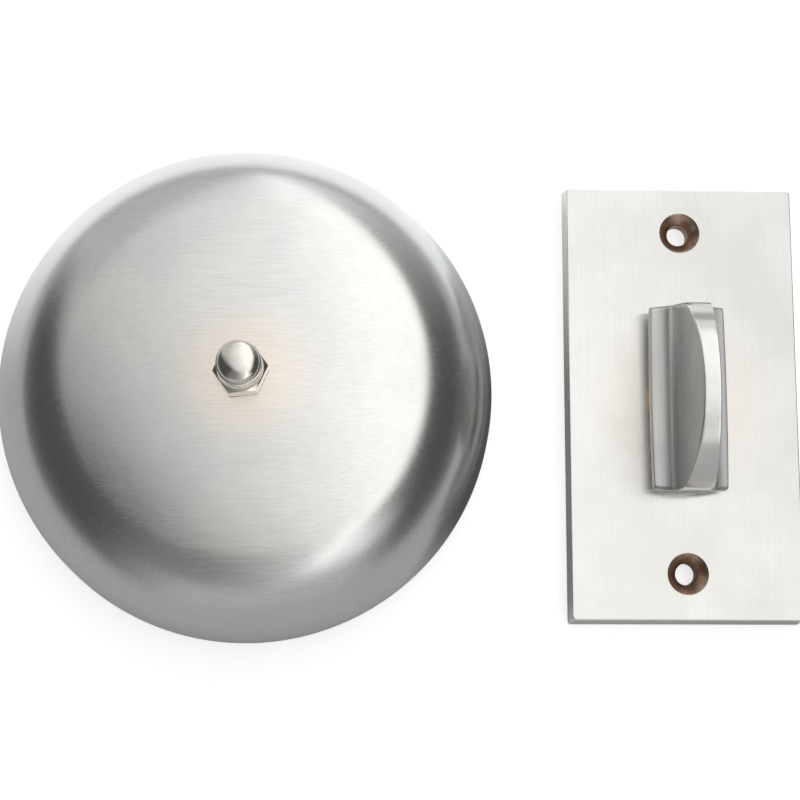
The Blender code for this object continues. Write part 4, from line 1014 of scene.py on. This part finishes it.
def makeFloor(values):
    # A pale floor; the metal sees it duller on the east of the gong, where a dark card would lie.
    half, low = values["floorSize"] / 2, values["floorLevel"]
    mesh = bpy.data.meshes.new("floor")
    mesh.from_pydata([(-half, -half, low), (half, -half, low), (half, half, low), (-half, half, low)], [],
        [(0, 1, 2, 3)])
    material, tree, shader = startMaterial("paleFloor")
    x, y = splitPoint(tree, pointOn(tree, (bellX, 0, 0)))[:2]
    reach = flatReach(tree, x, y)
    beyond = ramp(tree, reach, 0.13, 0.20, 1.0, 0.0)
    east = times(tree, ramp(tree, over(tree, x, reach), 0.62, 0.92), times(tree, beyond, ramp(tree, calc(tree,
        "ABSOLUTE", y), 0.050, 0.045)))
    east = times(tree, east, ramp(tree, x, 0.069, 0.072, 1.0, 0.35))
    north = times(tree, ramp(tree, over(tree, y, reach), 0.0, 0.8), beyond)
    light = addNode(tree, "ShaderNodeLightPath").outputs
    dull = times(tree, light["Is Glossy Ray"], east)
    lift = times(tree, light["Is Glossy Ray"], north)
    tone = plus(tree, values["floorColour"], times(tree, lift, values["northLift"]))
    tone = times(tree, tone, minus(tree, 1.0, times(tree, dull, 1 - values["flagNear"])))
    tree.links.new(greyTone(tree, tone), shader.inputs["Base Color"])
    shader.inputs["Roughness"].default_value = 0.9
    shader.inputs["Specular IOR Level"].default_value = 0.1
    glow = times(tree, light["Is Camera Ray"], values["floorGlow"])
    shine = times(tree, light["Is Glossy Ray"], minus(tree, values["glossGlow"], times(tree, dull,
        values["glossGlow"])))
    glow = plus(tree, glow, plus(tree, shine, times(tree, lift, values["glossNorth"])))
    tree.links.new(glow, shader.inputs["Emission Strength"])
    shader.inputs["Emission Color"].default_value = (1, 1, 1, 1)
    mesh.materials.append(material)
    addObject("floor", mesh)


def makeWorld(values):
    # A broad panel overhead, a light wall to the north, a duller one to the south, dark to east and west.
    world = bpy.data.worlds.new("studio")
    bpy.context.scene.world = world
    world.use_nodes = True
    tree = world.node_tree
    tree.nodes.clear()

    ray = addNode(tree, "ShaderNodeTexCoord").outputs["Generated"]
    x, y, z = splitPoint(tree, ray)
    up = calc(tree, "MAXIMUM", z, 0.02)
    east, north = over(tree, x, up), over(tree, y, up)
    level = calc(tree, "SQRT", plus(tree, plus(tree, times(tree, x, x), times(tree, y, y)), 0.000001))
    side = over(tree, x, level)
    wallNorth = times(tree, ramp(tree, side, 0.98, -0.05, 0.0, 0.95, False), ramp(tree, side, -0.98, -0.45))
    wallNorth = times(tree, wallNorth, ramp(tree, z, 0.55, 0.0, 1.02, 1.32, False))
    farSouth = times(tree, ramp(tree, side, -0.95, -0.30, 0.0, 0.52), ramp(tree, side, 0.90, 0.50))
    nearSouth = plus(tree, 0.42, times(tree, side, plus(tree, 0.75, times(tree, side, 0.75))))
    nearSouth = times(tree, nearSouth, times(tree, ramp(tree, side, -0.97, -0.50), ramp(tree, side, 0.92,
        0.60)))
    south = blend(tree, ramp(tree, z, 0.55, 0.30), nearSouth, farSouth)
    walls = blend(tree, ramp(tree, y, -0.03, 0.03), south, plus(tree, wallNorth, 0.05))
    walls = calc(tree, "MAXIMUM", walls, ramp(tree, z, 0.30, 0.0, 0.085, 0.17))
    eastEdge = minus(tree, east, times(tree, calc(tree, "MINIMUM", north, 0.5), 0.27))
    panel = times(tree, ramp(tree, eastEdge, 1.08, 0.72), ramp(tree, north, -0.57, -0.39))
    corner = plus(tree, times(tree, east, 0.64), times(tree, north, 0.77))
    panel = times(tree, panel, ramp(tree, corner, -0.60, -0.35))
    panel = times(tree, panel, ramp(tree, plus(tree, east, times(tree, north, 0.85)), -1.28, -0.26))
    slope = plus(tree, times(tree, calc(tree, "MAXIMUM", east, 0.0), 0.85), times(tree, calc(tree, "MINIMUM",
        east, 0.0), 0.62))
    glow = plus(tree, 1.0, plus(tree, slope, times(tree, calc(tree, "MINIMUM", north, 0.0), 0.40)))
    glow = plus(tree, glow, ramp(tree, north, 0.0, 0.8, 0.0, 0.12))
    glow = calc(tree, "MINIMUM", calc(tree, "MAXIMUM", glow, 0.60), 1.42)
    total = blend(tree, panel, walls, glow)
    strip = times(tree, ramp(tree, east, 0.36, 0.50), ramp(tree, plus(tree, east, times(tree, north, 0.18)),
        0.60, 0.46))
    strip = times(tree, strip, times(tree, ramp(tree, north, -1.9, -1.0), ramp(tree, north, -0.30, -0.50)))
    total = blend(tree, strip, total, 1.50)
    light = addNode(tree, "ShaderNodeBackground", {0: greyTone(tree, total), 1: values["worldLevel"]})
    white = addNode(tree, "ShaderNodeBackground", {0: (1, 1, 1, 1), 1: 1.0})
    seen = addNode(tree, "ShaderNodeLightPath").outputs["Is Camera Ray"]
    both = addNode(tree, "ShaderNodeMixShader")
    for socket, source in ((0, seen), (1, light.outputs[0]), (2, white.outputs[0])):
        tree.links.new(source, both.inputs[socket])
    out = addNode(tree, "ShaderNodeOutputWorld")
    tree.links.new(both.outputs[0], out.inputs[0])


def makeCamera(values):
    data = bpy.data.cameras.new("view")
    data.lens, data.sensor_width = values["lens"], 36.0
    data.clip_start, data.clip_end = 0.01, 20.0
    camera = addObject("view", data)
    camera.location = [value * mm for value in values["cameraPlace"]]
    camera.rotation_euler = values["cameraTurn"]
    bpy.context.scene.camera = camera


makeFloor(studio)
makeWorld(studio)
makeCamera(studio)
bpy.context.scene.view_settings.view_transform = "Standard"
print("studio made")
